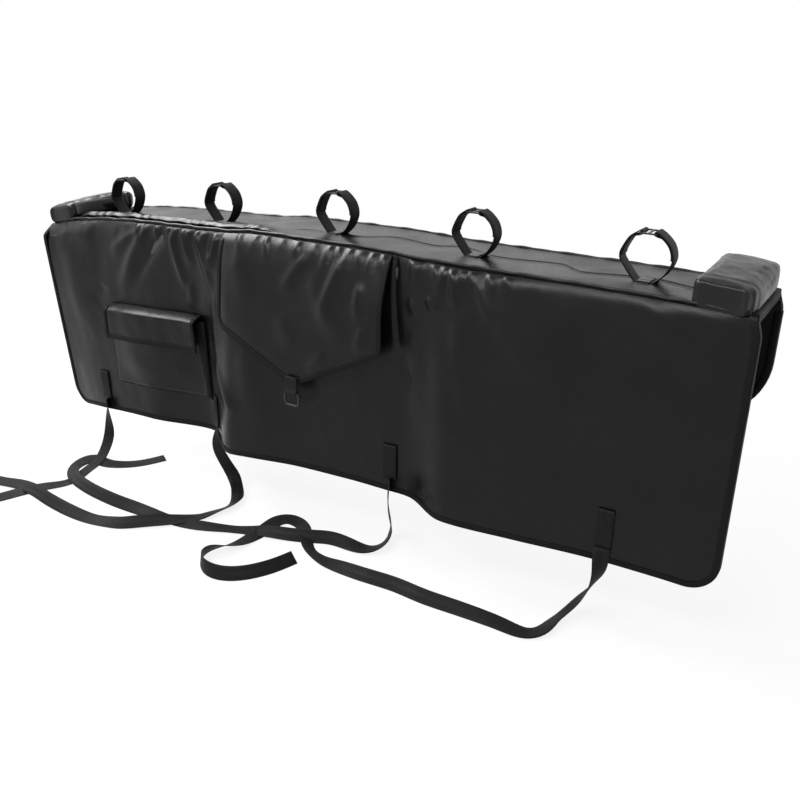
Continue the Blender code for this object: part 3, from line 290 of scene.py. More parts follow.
def rounder(x, drop):
    """What a softly rounded shoulder, 1 - exp(-drop / r), stands forward of the eased one."""
    past = np.maximum(drop - SEAM_GAP, 0)
    early = 1 - np.exp(-past / 0.014) - ease(drop / SHOULDER_REACH)
    size = smooth_through(SHOULDER, x / HALF_LENGTH) + 0.003
    puff = 0.013 * ease((x - 0.12) / 0.16) * ease((PANEL_HALF - x - 0.004) / 0.05)
    return size * early + puff * (1 - np.exp(-past / 0.020)) * np.exp(-past / 0.065)


def panel_reach(x, drop):
    """The side edges run in towards the seam by the flare."""
    return np.asarray(x) * (1 - SIDE_FLARE / PANEL_HALF * (1 - ease(drop / SHOULDER_REACH)))


def front_point(x, drop, extra=0.0):
    """A point of the front panel's outer face: x, -(half depth + forward + extra), seam height - drop."""
    reach = panel_reach(x, drop)
    y = -HALF_DEPTH - front_forward(reach, drop) - extra
    return np.stack(np.broadcast_arrays(reach, y, TOP_STACK - sag(reach) - drop), -1)


def back_point(x, drop, extra=0.0):
    """A point of the back flap's outer face."""
    reach = panel_reach(x, drop)
    y = HALF_DEPTH + smooth_through(BACK_SWAY, reach / HALF_LENGTH) * drop / BACK_DROP + extra
    return np.stack(np.broadcast_arrays(reach, y, TOP_STACK - sag(reach) - drop), -1)


def lower_edge(x, half, drop, corner):
    """Drop of a panel's lower edge at x: straight with a quarter circle at each end."""
    inset = np.clip(corner - (half - np.abs(x)), 0, corner)
    return drop - corner + np.sqrt(np.maximum(corner ** 2 - inset ** 2, 0))


def ripple(x, s, size, seed):
    """Soft unevenness from -1 to 1: a mean of six crossed sine waves, turned by the golden angle."""
    total = 0
    for k in range(6):
        turn = seed + 2.399963 * k
        rate = 2 * pi / (size * (0.7 + 0.13 * k))
        total = total + np.sin(rate * (x * np.cos(turn) + s * np.sin(turn)) + 1.7 * seed * (k + 1))
    return total / 6


def gathers(x, s, marks):
    """Tucks beside a seam: for each mark a ridge exp(-((x - place - slant s) / width)^2), which rises
    and dies away with the distance s as (s / r) exp(1 - s / r)."""
    total = np.zeros(np.broadcast(x, s).shape)
    for k, (place, height, reach) in enumerate(marks):
        slant = 0.22 * sin(3.7 * k + 1)
        width = 0.0050 + 0.0014 * sin(5.1 * k) + 0.13 * s
        r = reach * 0.00042
        total += (height * 0.0013 * hump(x - place - slant * s, width)
                  * (s / r) * np.exp(1 - s / r))
    return total


def creases(x, s, marks):
    """Folds along straight lines: height times exp(-(distance / width)^2), thinned out at both ends."""
    total = np.zeros(np.broadcast(x, s).shape)
    for x0, s0, x1, s1, height, width in marks:
        dx, ds = x1 - x0, s1 - s0
        length = (dx * dx + ds * ds) ** 0.5
        t = ((x - x0) * dx + (s - s0) * ds) / length ** 2
        off = ((x - x0) * ds - (s - s0) * dx) / length + 0.02 * length * np.sin(pi * np.clip(t, 0, 1))
        wide = width * 0.00105 * (1 + 0.5 * np.clip(t, 0, 1))
        taper = ease((t + 0.18) / 0.36) * ease((1.18 - t) / 0.50)
        total += height * 0.0017 * hump(off, wide) * taper
    return total


# Meshes

def mesh_from(name, points, faces, uvs=None, smooth=True):
    """An object at the origin with its place in its mesh; `uvs` holds one pair for each face corner."""
    mesh = bpy.data.meshes.new(name)
    mesh.from_pydata(np.asarray(points).reshape(-1, 3).tolist(), [], faces)
    if uvs is not None:
        mesh.uv_layers.new(name="UVMap").data.foreach_set("uv", np.asarray(uvs, float).ravel())
    if smooth:
        mesh.shade_smooth()
    obj = bpy.data.objects.new(name, mesh)
    scene.collection.objects.link(obj)
    return obj


def around(at):
    """Quads between the rows of a numbered grid whose rows close on themselves."""
    quads = np.stack([at[:-1], at[1:], np.roll(at[1:], -1, 1), np.roll(at[:-1], -1, 1)], -1)
    return quads.reshape(-1, 4).tolist()


def round_rings(path, radius, side, up, sides):
    """A circle round each point of a path: point + radius (side cos + up sin)."""
    turn = np.linspace(0, 2 * pi, sides, endpoint=False)[None, :, None]
    return path[:, None] + radius * (side[:, None] * np.cos(turn) + up[:, None] * np.sin(turn))


def turned_out(obj):
    """Turns a closed mesh's faces outwards."""
    work = bmesh.new()
    work.from_mesh(obj.data)
    bmesh.ops.recalc_face_normals(work, faces=work.faces)
    work.to_mesh(obj.data)
    work.free()
    return obj


def cloth(name, grid, outward, thick, keep=None):
    """A sheet: quads over a grid of points, UV in metres along both ways, thickened away from its face."""
    rows, cols = grid.shape[:2]
    at = np.arange(rows * cols).reshape(rows, cols)
    quads = np.stack([at[:-1, :-1], at[1:, :-1], at[1:, 1:], at[:-1, 1:]], -1)
    normal = np.cross(grid[1:, :-1] - grid[:-1, 1:], grid[1:, 1:] - grid[:-1, :-1]).sum((0, 1))
    if normal @ np.array(outward) < 0:
        quads = quads[..., ::-1]
    if keep is not None:
        quads = quads[keep]
    quads = quads.reshape(-1, 4)
    middle = grid[:, cols // 2]
    u = np.broadcast_to(arc_length(middle)[:, None], (rows, cols))
    steps = np.linalg.norm(np.diff(grid, axis=1), axis=2)
    v = np.concatenate([np.zeros((rows, 1)), np.cumsum(steps, axis=1)], axis=1)
    uv = np.stack([u, v], -1).reshape(-1, 2)
    used = np.unique(quads)
    renumber = np.zeros(rows * cols, int)
    renumber[used] = np.arange(len(used))
    obj = mesh_from(name, grid.reshape(-1, 3)[used], renumber[quads].tolist(), uv[quads.ravel()])
    shell = obj.modifiers.new("Thickness", "SOLIDIFY")
    shell.thickness = thick
    shell.offset = -1
    return obj


def sweep(name, rings, closed=False, smooth=True):
    """A closed profile carried along a path: ring after ring, UV in metres round and along."""
    rings = np.asarray(rings, float)
    count, size = rings.shape[:2]
    at = np.arange(count * size).reshape(count, size)
    faces = around(np.vstack([at, at[:1]]) if closed else at)
    looped = np.concatenate([rings, rings[:, :1]], 1)
    u = np.concatenate([[0], np.cumsum(np.linalg.norm(np.diff(looped, axis=1), axis=2).mean(0))])
    path = rings.mean(1)
    v = arc_length(np.vstack([path, path[:1]]) if closed else path)
    n = len(v) - 1
    corner_u = np.broadcast_to(np.stack([u[:-1], u[:-1], u[1:], u[1:]], -1), (n, size, 4))
    corner_v = np.broadcast_to(np.stack([v[:-1], v[1:], v[1:], v[:-1]], -1)[:, None], (n, size, 4))
    uvs = np.stack([corner_u, corner_v], -1).reshape(-1, 2)
    if not closed:
        faces += [at[0].tolist(), at[-1, ::-1].tolist()]
        uvs = np.vstack([uvs, np.zeros((2 * size, 2))])
    return turned_out(mesh_from(name, rings, faces, uvs, smooth))


def band_profile(width, thick, steps=3):
    """Section of flat webbing: a rectangle with half-round edges, as pairs (across, out)."""
    turn = np.linspace(-pi / 2, pi / 2, steps + 2)
    flat = np.linspace(-1, 1, 5)[1:-1] * (width / 2 - thick / 2)
    r, h = thick / 2, width / 2 - thick / 2
    right = np.stack([h + r * np.cos(turn), r * np.sin(turn)], 1)
    top = np.stack([-flat, np.full(3, r)], 1)
    left = -right
    return np.vstack([right, top, left, -top])


def band(name, path, across, width=WEB_WIDTH, thick=WEB_THICK):
    """Flat webbing along a path, its width along `across`."""
    path = np.asarray(path, float)
    across = np.broadcast_to(np.asarray(across, float), path.shape)
    along = unit(np.gradient(path, axis=0))
    across = unit(across - (across * along).sum(1, keepdims=True) * along)
    normal = np.cross(along, across)
    profile = band_profile(width, thick)
    rings = (path[:, None] + across[:, None] * profile[None, :, :1]
             + normal[:, None] * profile[None, :, 1:])
    return sweep(name, rings)


def rod(name, path, radius, sides=10):
    """A round cord or piping: a circle carried along a path."""
    along = unit(np.gradient(path, axis=0))
    side = unit(np.cross(along, (0.01, 0.02, 1.0)))
    up = np.cross(side, along)
    radius = np.broadcast_to(radius, len(path))[:, None, None]
    return sweep(name, round_rings(path, radius, side, up, sides))


def closed_rod(name, path, radius, sides=10):
    """A ring of round rod that lies in a plane facing forward."""
    along = unit(np.roll(path, -1, axis=0) - np.roll(path, 1, axis=0))
    front = np.broadcast_to(np.array([0, -1.0, 0]), path.shape)
    side = np.cross(along, front)
    return sweep(name, round_rings(path, radius, side, front, sides), closed=True)


def tape_rings(edge, inward, normal, stack):
    """Bound edge: a U with rounded backs that grips the stack, as rings along the edge."""
    over = TAPE_CLEAR
    under = -(stack + TAPE_EASE)
    lip, t, back = TAPE_WIDTH, TAPE_THICK, -TOUCH
    r = min(0.45 * (over + t - under), 0.0022)
    turn = np.linspace(pi / 2, 0, 4)
    upper = [(back - t + r - r * cos(a), over + t - r + r * sin(a)) for a in turn]
    lower = [(back - t + r - r * cos(a), under - t + r - r * sin(a)) for a in turn[::-1]]
    section = ([(lip, over + 0.35 * t), (lip - 0.0012, over + t)] + upper + lower
               + [(lip - 0.0012, under - t), (lip, under - 0.35 * t), (lip, under), (back, under),
                  (back, over), (lip, over)])
    return np.stack([edge + inward * a + normal * b for a, b in section], 1)


def surface_normals(grid, outward):
    """Unit normals of a grid by crossing its two gradients, turned to the outward side."""
    normal = unit(np.cross(np.gradient(grid, axis=0), np.gradient(grid, axis=1)))
    return normal * np.sign(normal @ np.array(outward, float))[..., None]


def rim(grid):
    """The side, lower and side edges of a grid, with their inward and outward directions."""
    normals = surface_normals(grid, (0, grid[0, 0, 1], 0))
    left, right = slice(1, -1), slice(-2, 0, -1)
    edge = np.vstack([grid[0, left], grid[:, -1], grid[-1, right]])
    normal = np.vstack([normals[0, left], normals[:, -1], normals[-1, right]])
    along = unit(np.gradient(edge, axis=0))
    inward = unit(np.cross(along, normal))
    centre = np.array([0, 0, grid[..., 2].mean()])
    inward *= np.sign(((centre - edge) * inward).sum(1).mean())
    return edge, inward, normal


def stitches(name, places, along, out, length=0.0030, radius=0.00042):
    """Rows of thread: one six-sided spindle for each stitch, half sunk in the cloth."""
    along, out = unit(along), unit(out)
    side = np.cross(along, out)
    shape = ((-0.5, 0.25, -0.5), (-0.36, 0.9, 0.1), (0.36, 0.9, 0.1), (0.5, 0.25, -0.5))
    rings = [round_rings(places + along * at * length + out * lift * radius, radius * wide, side, out, 6)
             for at, wide, lift in shape]
    points = np.stack(rings, 1).reshape(len(places), -1, 3)
    cell = np.arange(24).reshape(4, 6)
    faces = around(cell) + [cell[0].tolist(), cell[-1, ::-1].tolist()]
    every = [[v + 24 * k for v in face] for k in range(len(places)) for face in faces]
    return turned_out(mesh_from(name, points, every))


def row_of(path, out, pitch=0.0048):
    """Places, directions and normals of stitches at an even pitch along a path."""
    path, out = np.asarray(path, float), np.broadcast_to(out, np.shape(path))
    far = arc_length(path)
    at = np.arange(pitch, far[-1] - pitch / 2, pitch)
    pick = lambda a: np.stack([np.interp(at, far, a[:, k]) for k in range(3)], 1)
    return pick(path), pick(unit(np.gradient(path, axis=0))), pick(out)


def join_rows(rows):
    """Rows of stitches put together: one array each of places, directions and normals."""
    return [np.vstack(part) for part in zip(*rows)]


# Materials

class Maker:
    """Adds shader nodes to one tree; a value that is a socket is linked, any other value is set."""

    def __init__(self, tree):
        self.tree = tree

    def __call__(self, kind, values=None, **settings):
        made = self.tree.nodes.new(kind)
        for key, value in settings.items():
            setattr(made, key, value)
        for key, value in (values or {}).items():
            if isinstance(value, bpy.types.NodeSocket):
                self.tree.links.new(value, made.inputs[key])
            else:
                made.inputs[key].default_value = value
        return made

    def math(self, operation, a, b=0.0, c=0.0):
        return self("ShaderNodeMath", {0: a, 1: b, 2: c}, operation=operation).outputs[0]

    def group(self, tree, **values):
        return self("ShaderNodeGroup", values, node_tree=tree).outputs


def group(name, inputs, outputs):
    """A node group with named sockets: pairs of name and default in, names out."""
    tree = bpy.data.node_groups.new(name, "ShaderNodeTree")
    for key, value in inputs.items():
        kind = "NodeSocketVector" if value is None else "NodeSocketFloat"
        socket = tree.interface.new_socket(name=key, in_out="INPUT", socket_type=kind)
        if value is not None:
            socket.default_value = value
    for key in outputs:
        tree.interface.new_socket(name=key, in_out="OUTPUT", socket_type="NodeSocketFloat")
    make = Maker(tree)
    return tree, make, make("NodeGroupInput").outputs, make("NodeGroupOutput").inputs


def weave_group():
    """Plain weave: the product of two sines of the surface's own metres, and its over-and-under mask."""
    tree, make, given, result = group("Plain weave", {"Place": None, "Pitch": 0.001}, ["Height"])
    axes = make("ShaderNodeSeparateXYZ", {0: given["Place"]}).outputs
    rate = make.math("DIVIDE", 2 * pi, given["Pitch"])
    a = make.math("SINE", make.math("MULTIPLY", axes[0], rate))
    b = make.math("SINE", make.math("MULTIPLY", axes[1], rate))
    product = make.math("MULTIPLY", a, b)
    tree.links.new(make.math("MULTIPLY_ADD", product, 0.5, 0.5), result["Height"])
    return tree


def crumple_group():
    """Handling marks: a broad noise bent by a finer one; the mask is where the cloth was rubbed."""
    tree, make, given, result = group("Crumple", {"Place": None, "Size": 0.02, "Roughness": 0.55},
                                      ["Height", "Mask"])
    scale = make.math("DIVIDE", 1.0, given["Size"])
    broad = make("ShaderNodeTexNoise", {"Vector": given["Place"], "Scale": scale, "Detail": 4.0,
                                        "Roughness": given["Roughness"], "Distortion": 0.35})
    wide = make("ShaderNodeTexNoise", {"Vector": given["Place"],
                                       "Scale": make.math("MULTIPLY", scale, 0.27), "Detail": 2.0})
    tree.links.new(broad.outputs[0], result["Height"])
    mask = make("ShaderNodeMapRange", {"Value": wide.outputs[0], "From Min": 0.38, "From Max": 0.64})
    tree.links.new(mask.outputs[0], result["Mask"])
    return tree


def rib_group():
    """Ribs across a band: a sine along the band, pushed to and fro across it into a herringbone."""
    tree, make, given, result = group("Ribs", {"Place": None, "Pitch": 0.0013, "Slant": 0.5,
                                               "Panel": 0.006}, ["Height"])
    axes = make("ShaderNodeSeparateXYZ", {0: given["Place"]}).outputs
    zigzag = make.math("PINGPONG", axes[0], given["Panel"])
    shifted = make.math("MULTIPLY_ADD", zigzag, given["Slant"], axes[1])
    rate = make.math("DIVIDE", 2 * pi, given["Pitch"])
    wave = make.math("SINE", make.math("MULTIPLY", shifted, rate))
    tree.links.new(make.math("MULTIPLY_ADD", wave, 0.5, 0.5), result["Height"])
    return tree


WEAVE, CRUMPLE, RIBS = weave_group(), crumple_group(), rib_group()


def finish(name, dark, light, rough, specular, texture, bump, on_uv=True, size=0.02):
    """A Principled finish: colour and roughness drift with the crumple mask, a Bump node adds the texture.
    `texture` is a function of (maker, place) that gives the fine height; `bump` is the pair of its depth
    and the crumple's depth in metres."""
    made = bpy.data.materials.new(name)
    made.use_nodes = True
    tree = made.node_tree
    make = Maker(tree)
    shader = tree.nodes["Principled BSDF"].inputs
    coords = make("ShaderNodeTexCoord").outputs
    fine = texture(make, coords["UV"] if on_uv else coords["Object"])
    crumple = make.group(CRUMPLE, Place=coords["Object"], Size=size)
    # Painted shade: the base colour darkens to 0.72 of the dark colour where the fine texture is low, in the
    # hollows of the weave, ribs and fuzz.
    hollow_shade = [0.72 * c for c in dark]
    colour = make("ShaderNodeMix", {"Factor": crumple["Mask"], 6: (*dark, 1), 7: (*light, 1)},
                  data_type="RGBA")
    shaded_tone = make("ShaderNodeMix", {"Factor": fine, 6: (*hollow_shade, 1), 7: colour.outputs[2]}, data_type="RGBA")
    spread = make("ShaderNodeMapRange", {"Value": crumple["Mask"], "To Min": rough[0], "To Max": rough[1]})
    low = make("ShaderNodeBump", {"Height": crumple["Height"], "Distance": bump[1], "Strength": 1.0})
    high = make("ShaderNodeBump", {"Height": fine, "Distance": bump[0], "Strength": 1.0,
                                   "Normal": low.outputs[0]})
    tree.links.new(shaded_tone.outputs[2], shader["Base Color"])
    tree.links.new(spread.outputs[0], shader["Roughness"])
    tree.links.new(high.outputs[0], shader["Normal"])
    shader["Specular IOR Level"].default_value = specular
    return made


def patterned(tree, **values):
    """A texture made by a group with its own values: a function of (maker, place) that gives its height."""
    return lambda make, place: make.group(tree, Place=place, **values)["Height"]


def fuzz(scale, detail):
    """A texture of fine noise, as a function of (maker, place)."""
    return lambda make, place: make("ShaderNodeTexNoise", {"Vector": place, "Scale": scale, "Detail": detail,
                                                           "Roughness": 0.7}).outputs[0]


CLOTH_WEAVE = patterned(WEAVE, Pitch=0.0011)
CLOTH_BUMP = (0.00004, 0.0005)
COATED = finish("coated_cloth", (0.0034, 0.0034, 0.0037), (0.0054, 0.0054, 0.0057), (0.25, 0.35), 0.18,
                CLOTH_WEAVE, CLOTH_BUMP, size=0.022)
# Painted light: a lighter, glossier copy of the same coated cloth for the piping, bolsters and keepers, so
# that they read brighter than the panels.
COATED_LIT = finish("coated_cloth_lit_copy", (0.0052, 0.0052, 0.0056), (0.0080, 0.0080, 0.0085),
                      (0.25, 0.34), 0.24, CLOTH_WEAVE, CLOTH_BUMP, on_uv=False, size=0.022)
TAPE = finish("edge_binding", (0.0045,) * 3, (0.0070,) * 3, (0.55, 0.70), 0.10,
              patterned(RIBS, Pitch=0.0012, Slant=0.0, Panel=0.0062), (0.00010, 0.0003))
WEBBING = finish("webbing_cloth", (0.0050, 0.0050, 0.0052), (0.0080, 0.0080, 0.0082), (0.50, 0.62), 0.13,
                 patterned(RIBS, Pitch=0.0016, Slant=0.55, Panel=0.0062), (0.00016, 0.0002))
THREAD = finish("thread", (0.0055,) * 3, (0.0090,) * 3, (0.50, 0.60), 0.14,
                fuzz(1500, 2), (0.00005, 0.0001), on_uv=False)
PLASTIC = finish("moulded_nylon", (0.0090, 0.0090, 0.0095), (0.0130, 0.0130, 0.0135), (0.30, 0.42), 0.40,
                 fuzz(900, 3), (0.00002, 0.0001), on_uv=False)
FLEECE = finish("brushed_lining", (0.0090,) * 3, (0.0180,) * 3, (0.85, 0.95), 0.10,
                fuzz(1200, 6), (0.00040, 0.0006))
FOAM = finish("closed_cell_foam", (0.0480, 0.0480, 0.0500), (0.0720, 0.0720, 0.0740), (0.85, 0.95), 0.15,
              fuzz(1800, 4), (0.00020, 0.0003), on_uv=False)


def dress(obj, material, slot, *nodes):
    """Gives a piece its finish, lets it ride on the pad and hides the solids that it stands for."""
    obj.data.materials.append(material)
    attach(obj, "root")
    if nodes:
        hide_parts(*nodes)
    return obj


# Camera, light and floor

def view_axes():
    """The camera's view direction and the two axes across it, from its azimuth and tilt, before its roll."""
    a, e = CAMERA_AZIMUTH, CAMERA_TILT
    ahead = np.array([-sin(a) * cos(e), cos(a) * cos(e), -sin(e)])
    right = np.array([cos(a), sin(a), 0])
    return ahead, right, np.cross(right, ahead)


def placed(name, data, x_axis, y_axis, z_axis, place):
    """An object for a camera or lamp, turned so that its own axes are the three given ones."""
    obj = bpy.data.objects.new(name, data)
    turn = np.eye(4)
    turn[:3] = np.stack([x_axis, y_axis, z_axis, place], 1)
    obj.matrix_world = Matrix(turn.tolist())
    scene.collection.objects.link(obj)
    return obj


def camera():
    """The photograph's camera: its two axes across the view are rolled, and it looks down its own -z."""
    ahead, right, up = view_axes()
    r = CAMERA_ROLL
    data = bpy.data.cameras.new("camera")
    data.lens, data.sensor_width = CAMERA_LENS, 36
    scene.camera = placed("camera", data, right * cos(r) + up * sin(r), up * cos(r) - right * sin(r), -ahead,
                          CAMERA_PLACE)


def seen_rays(make):
    """1 for rays that should meet the white background: camera, glossy and transmitted ones."""
    rays = make("ShaderNodeLightPath").outputs
    some = make.math("MAXIMUM", rays["Is Camera Ray"], rays["Is Glossy Ray"])
    return make.math("MAXIMUM", some, rays["Is Transmission Ray"])


def lamp(name, place, aim, size, power):
    """A soft box that faces its aim and isn't seen itself."""
    data = bpy.data.lights.new(name, "AREA")
    data.shape, data.size, data.size_y, data.energy = "RECTANGLE", size[0], size[1], power
    way = unit(np.array(place, float) - np.array(aim, float))
    side = unit(np.cross((0, 0, 1.0), way))
    placed(name, data, side, np.cross(way, side), way, place).visible_camera = False


def studio():
    """White world, soft lamps, and a round floor that fades into the white round the object's shadow."""
    world = bpy.data.worlds.new("studio")
    world.use_nodes = True
    scene.world = world
    make = Maker(world.node_tree)
    sky = world.node_tree.nodes["Background"]
    sky.inputs["Color"].default_value = (1, 1, 1, 1)
    level = make("ShaderNodeMapRange", {"Value": seen_rays(make), "To Min": WORLD_LIGHT,
                                        "To Max": WORLD_SEEN})
    world.node_tree.links.new(level.outputs[0], sky.inputs["Strength"])
    lamp("back_left_softbox", (-1.5, 2.3, 1.7), (0, 0, 0), (1.8, 0.9), 7)
    lamp("upper_left_softbox", (-1.7, -0.05, 1.45), (0, 0, 0), (1.9, 0.9), 80)
    lamp("upper_front_softbox", (0.0, -1.45, 1.25), (0.3, 0, 0), (1.3, 0.5), 27)
    lamp("left_softbox", (-2.2, -0.9, 0.5), (0, 0, 0), (0.9, 1.1), 2.5)

    radius = np.concatenate([[0.001], np.linspace(0.15, 4.0, 24)])
    turn = np.linspace(0, 2 * pi, 64, endpoint=False)
    grid = np.stack([radius[:, None] * np.cos(turn) + 0.0, radius[:, None] * np.sin(turn) - 0.2,
                     np.full((len(radius), 64), GROUND_Z)], -1)
    at = np.arange(len(radius) * 64).reshape(len(radius), 64)
    floor = mesh_from("studio_floor", grid, around(at) + [at[0].tolist()])
    made = bpy.data.materials.new("studio_floor")
    made.use_nodes = True
    tree = made.node_tree
    make = Maker(tree)
    tree.nodes.remove(tree.nodes["Principled BSDF"])
    matt = make("ShaderNodeBsdfDiffuse", {"Color": (0.86, 0.86, 0.86, 1)})
    glow = make("ShaderNodeEmission", {"Color": (1, 1, 1, 1), "Strength": 1.0})
    away = make("ShaderNodeVectorMath", {0: make("ShaderNodeTexCoord").outputs["Object"],
                                         1: (0.0, 0.2, 0.0)}, operation="ADD")
    flat = make("ShaderNodeVectorMath", {0: away.outputs[0], 1: (1, 1, 0)}, operation="MULTIPLY")
    far = make("ShaderNodeVectorMath", {0: flat.outputs[0]}, operation="LENGTH")
    fade = make("ShaderNodeMapRange", {"Value": far.outputs["Value"], "From Min": 0.9, "From Max": 2.2,
                                       "To Min": 0.84, "To Max": 1.0}, interpolation_type="SMOOTHSTEP")
    share = make.math("MULTIPLY", fade.outputs[0], seen_rays(make))
    mixed = make("ShaderNodeMixShader", {0: share, 1: matt.outputs[0], 2: glow.outputs[0]})
    tree.links.new(mixed.outputs[0], tree.nodes["Material Output"].inputs["Surface"])
    floor.data.materials.append(made)


# Free straps

def panel_side(x, drop):
    """Unit vector along the front panel at one place."""
    return unit(front_point(x + 0.004, drop) - front_point(x - 0.004, drop))


def anchor_path(x):
    """Middle line of a sewn anchor patch on the front panel, and its direction across."""
    drop = np.linspace(ANCHOR_TOP, ANCHOR_TOP + ANCHOR_LENGTH, 12)
    side = panel_side(x, drop[3])
    normal = np.array([side[1], -side[0], 0])
    bow = abs(front_forward(x + WEB_WIDTH / 2, drop) + front_forward(x - WEB_WIDTH / 2, drop)
              - 2 * front_forward(x, drop)).max() / 2
    return front_point(np.full(12, x), drop) + normal * (3 * TOUCH + bow + WEB_THICK), side, normal


def free_strap(k):
    """A hold-down strap: hangs from its anchor, turns, and lies along the ground. At each route point
    the band leans by its tilt, so its middle stands half its width times the sine above the ground."""
    patch, side, _ = anchor_path(ANCHOR_X[k])
    first = patch[-1] + np.array([0, -0.001, -4 * TOUCH])
    foot = STRAP_ROUTES[k][0]
    sight, beside, _ = view_axes()
    ahead = np.array([-beside[1], beside[0], 0])
    turn = radians(HANG_TURN[k])
    facing = beside * cos(turn) + ahead * sin(turn)
    points = [first, first + np.array([0, -0.003, -0.018]), first + np.array([0, -0.005, -0.048]),
              np.array([(ANCHOR_X[k] + foot[0]) / 2, (first[1] + foot[1]) / 2, GROUND_Z + 0.035])]
    keys = [side, unit(side * 0.5 + facing * 0.5), unit(side * 0.2 + facing * 0.8), facing]
    route = np.array(STRAP_ROUTES[k], float)
    level = np.gradient(route[:, :2], axis=0)
    flat = unit(np.stack([level[:, 1], -level[:, 0], np.zeros(len(route))], 1))
    tilt = np.radians(route[:, 3]) * np.where(flat @ ahead < 0, -1, 1)
    across = flat * np.cos(tilt)[:, None] + np.array([0, 0, 1.0]) * np.sin(tilt)[:, None]
    rest = GROUND_Z + WEB_THICK / 2 + TOUCH
    stand = (WEB_WIDTH - WEB_THICK) / 2
    height = rest + route[:, 2] + stand * np.abs(np.sin(tilt))
    points += [np.array([a, b, z]) for a, b, z in zip(route[:, 0], route[:, 1], height)]
    for row in across:
        keys.append(row if row @ keys[-1] > 0 else -row)
    run = unit(np.gradient(np.array(points), axis=0))
    thin = unit(sight - (run @ sight)[:, None] * run)
    for n, share in EDGE_ON[k]:
        way = thin[n] if thin[n] @ keys[n] > 0 else -thin[n]
        keys[n] = unit(keys[n] * (1 - share) + way * share)
    carried = even_curve(points, STRAP_STEP, np.array(keys))
    path = softened(carried[:, :3], 8)
    hanging = path[:FOOT_WITHIN]
    foot_at = np.linalg.norm(hanging - points[4], axis=1).argmin()
    near = hump(np.arange(len(path)) - foot_at, FOOT_SPREAD)[:, None]
    path = softened(path, 90) * near + path * (1 - near)
    across = smooth_twist(path, carried[:, 3:], 50)
    standing = np.abs(across[:, 2])
    standing = np.max([np.roll(standing, n) for n in range(-3, 4)], axis=0)
    path[:, 2] = np.maximum(path[:, 2], rest + stand * softened(standing, 8))
    near = near ** 2
    carried = even_curve(softened(path, 60) * near + path * (1 - near), STRAP_STEP, across)
    path, across = carried[:, :3], unit(carried[:, 3:])
    obj = dress(band(f"hold_down_webbing_{k + 1}", path, across), WEBBING, "webbing",
                f"hold_down_strap_{k + 1}")


camera()
for number in range(4):
    free_strap(number)
studio()


# Front panel

# Column spacing of the front cover, its layers, the back cover and its layers
COVER_STEP, LAYER_STEP, BACK_STEP, BACK_LAYER_STEP = 0.0036, 0.012, 0.0080, 0.020


def panel_columns(half, step, corner, exact=()):
    """Column places across a panel: even steps, cosine steps round the lower corners, exact places kept."""
    inner = half - corner
    marks = np.array([-inner, *exact, inner])
    runs = [np.linspace(a, b, max(1, round((b - a) / step)), endpoint=False)
            for a, b in zip(marks[:-1], marks[1:])]
    arc = half - corner * (1 - np.cos(np.linspace(0, pi / 2, 14, endpoint=False)))
    return np.concatenate([-arc, *runs, [inner], arc[::-1]])


def panel_downs(columns, rows, half, drop, corner):
    """Drops of a panel's grid: fixed rows at first, then eight shares down to the shaped lower edge."""
    low = lower_edge(columns[:, None], half, drop, corner)
    top = np.broadcast_to(np.array(rows)[None, :], (len(columns), len(rows)))
    share = np.linspace(0, 1, 9)[None, 1:]
    return np.concatenate([top, rows[-1] + (low - rows[-1]) * share], axis=1)


def covering(name, node, grid, outward, thick, flat, held, rests_on, keep=None, **extra):
    """A sheet of coated cloth; its flat size and what holds it are not used."""
    obj = dress(cloth(name, grid, outward, thick, keep), COATED, "coated_fabric", node)
    return obj


def layers(side, outward, base, keep=None):
    """Foam and lining behind a panel's cover: its outer face moved inwards along its normals."""
    normals = surface_normals(base, outward)
    face = base - normals * (COVER_THICK + LAYER_EASE)
    foam = cloth(f"{side}_foam_sheet", face, outward, PANEL_FOAM, keep)
    dress(foam, FOAM, "foam", f"{side}_foam")
    lining = cloth(f"{side}_lining_cloth", face - normals * (PANEL_FOAM + TOUCH), outward, LINING_THICK, keep)
    dress(lining, FLEECE, "lining", f"{side}_lining")


def panel_grid(point, columns, down, extra=0.0):
    """Points of a panel's face over its columns and drops."""
    return point(np.broadcast_to(columns[:, None], down.shape), down, extra)


def window_cells(columns, down):
    """The cells of a front layer outside the access window."""
    x = (columns[1:] + columns[:-1]) / 2
    s = (down[0, 1:] + down[0, :-1]) / 2
    inside_x = (x > WINDOW_SPAN[0]) & (x < WINDOW_SPAN[1])
    inside_s = (s > WINDOW_TOP) & (s < WINDOW_BOTTOM)
    return ~(inside_x[:, None] & inside_s[None, :])


def window_distance(x, s):
    """Distance from a place outside the access window to its edge."""
    dx = np.maximum(np.maximum(WINDOW_SPAN[0] - x, x - WINDOW_SPAN[1]), 0)
    ds = np.maximum(np.maximum(WINDOW_TOP - s, s - WINDOW_BOTTOM), 0)
    return np.hypot(dx, ds)


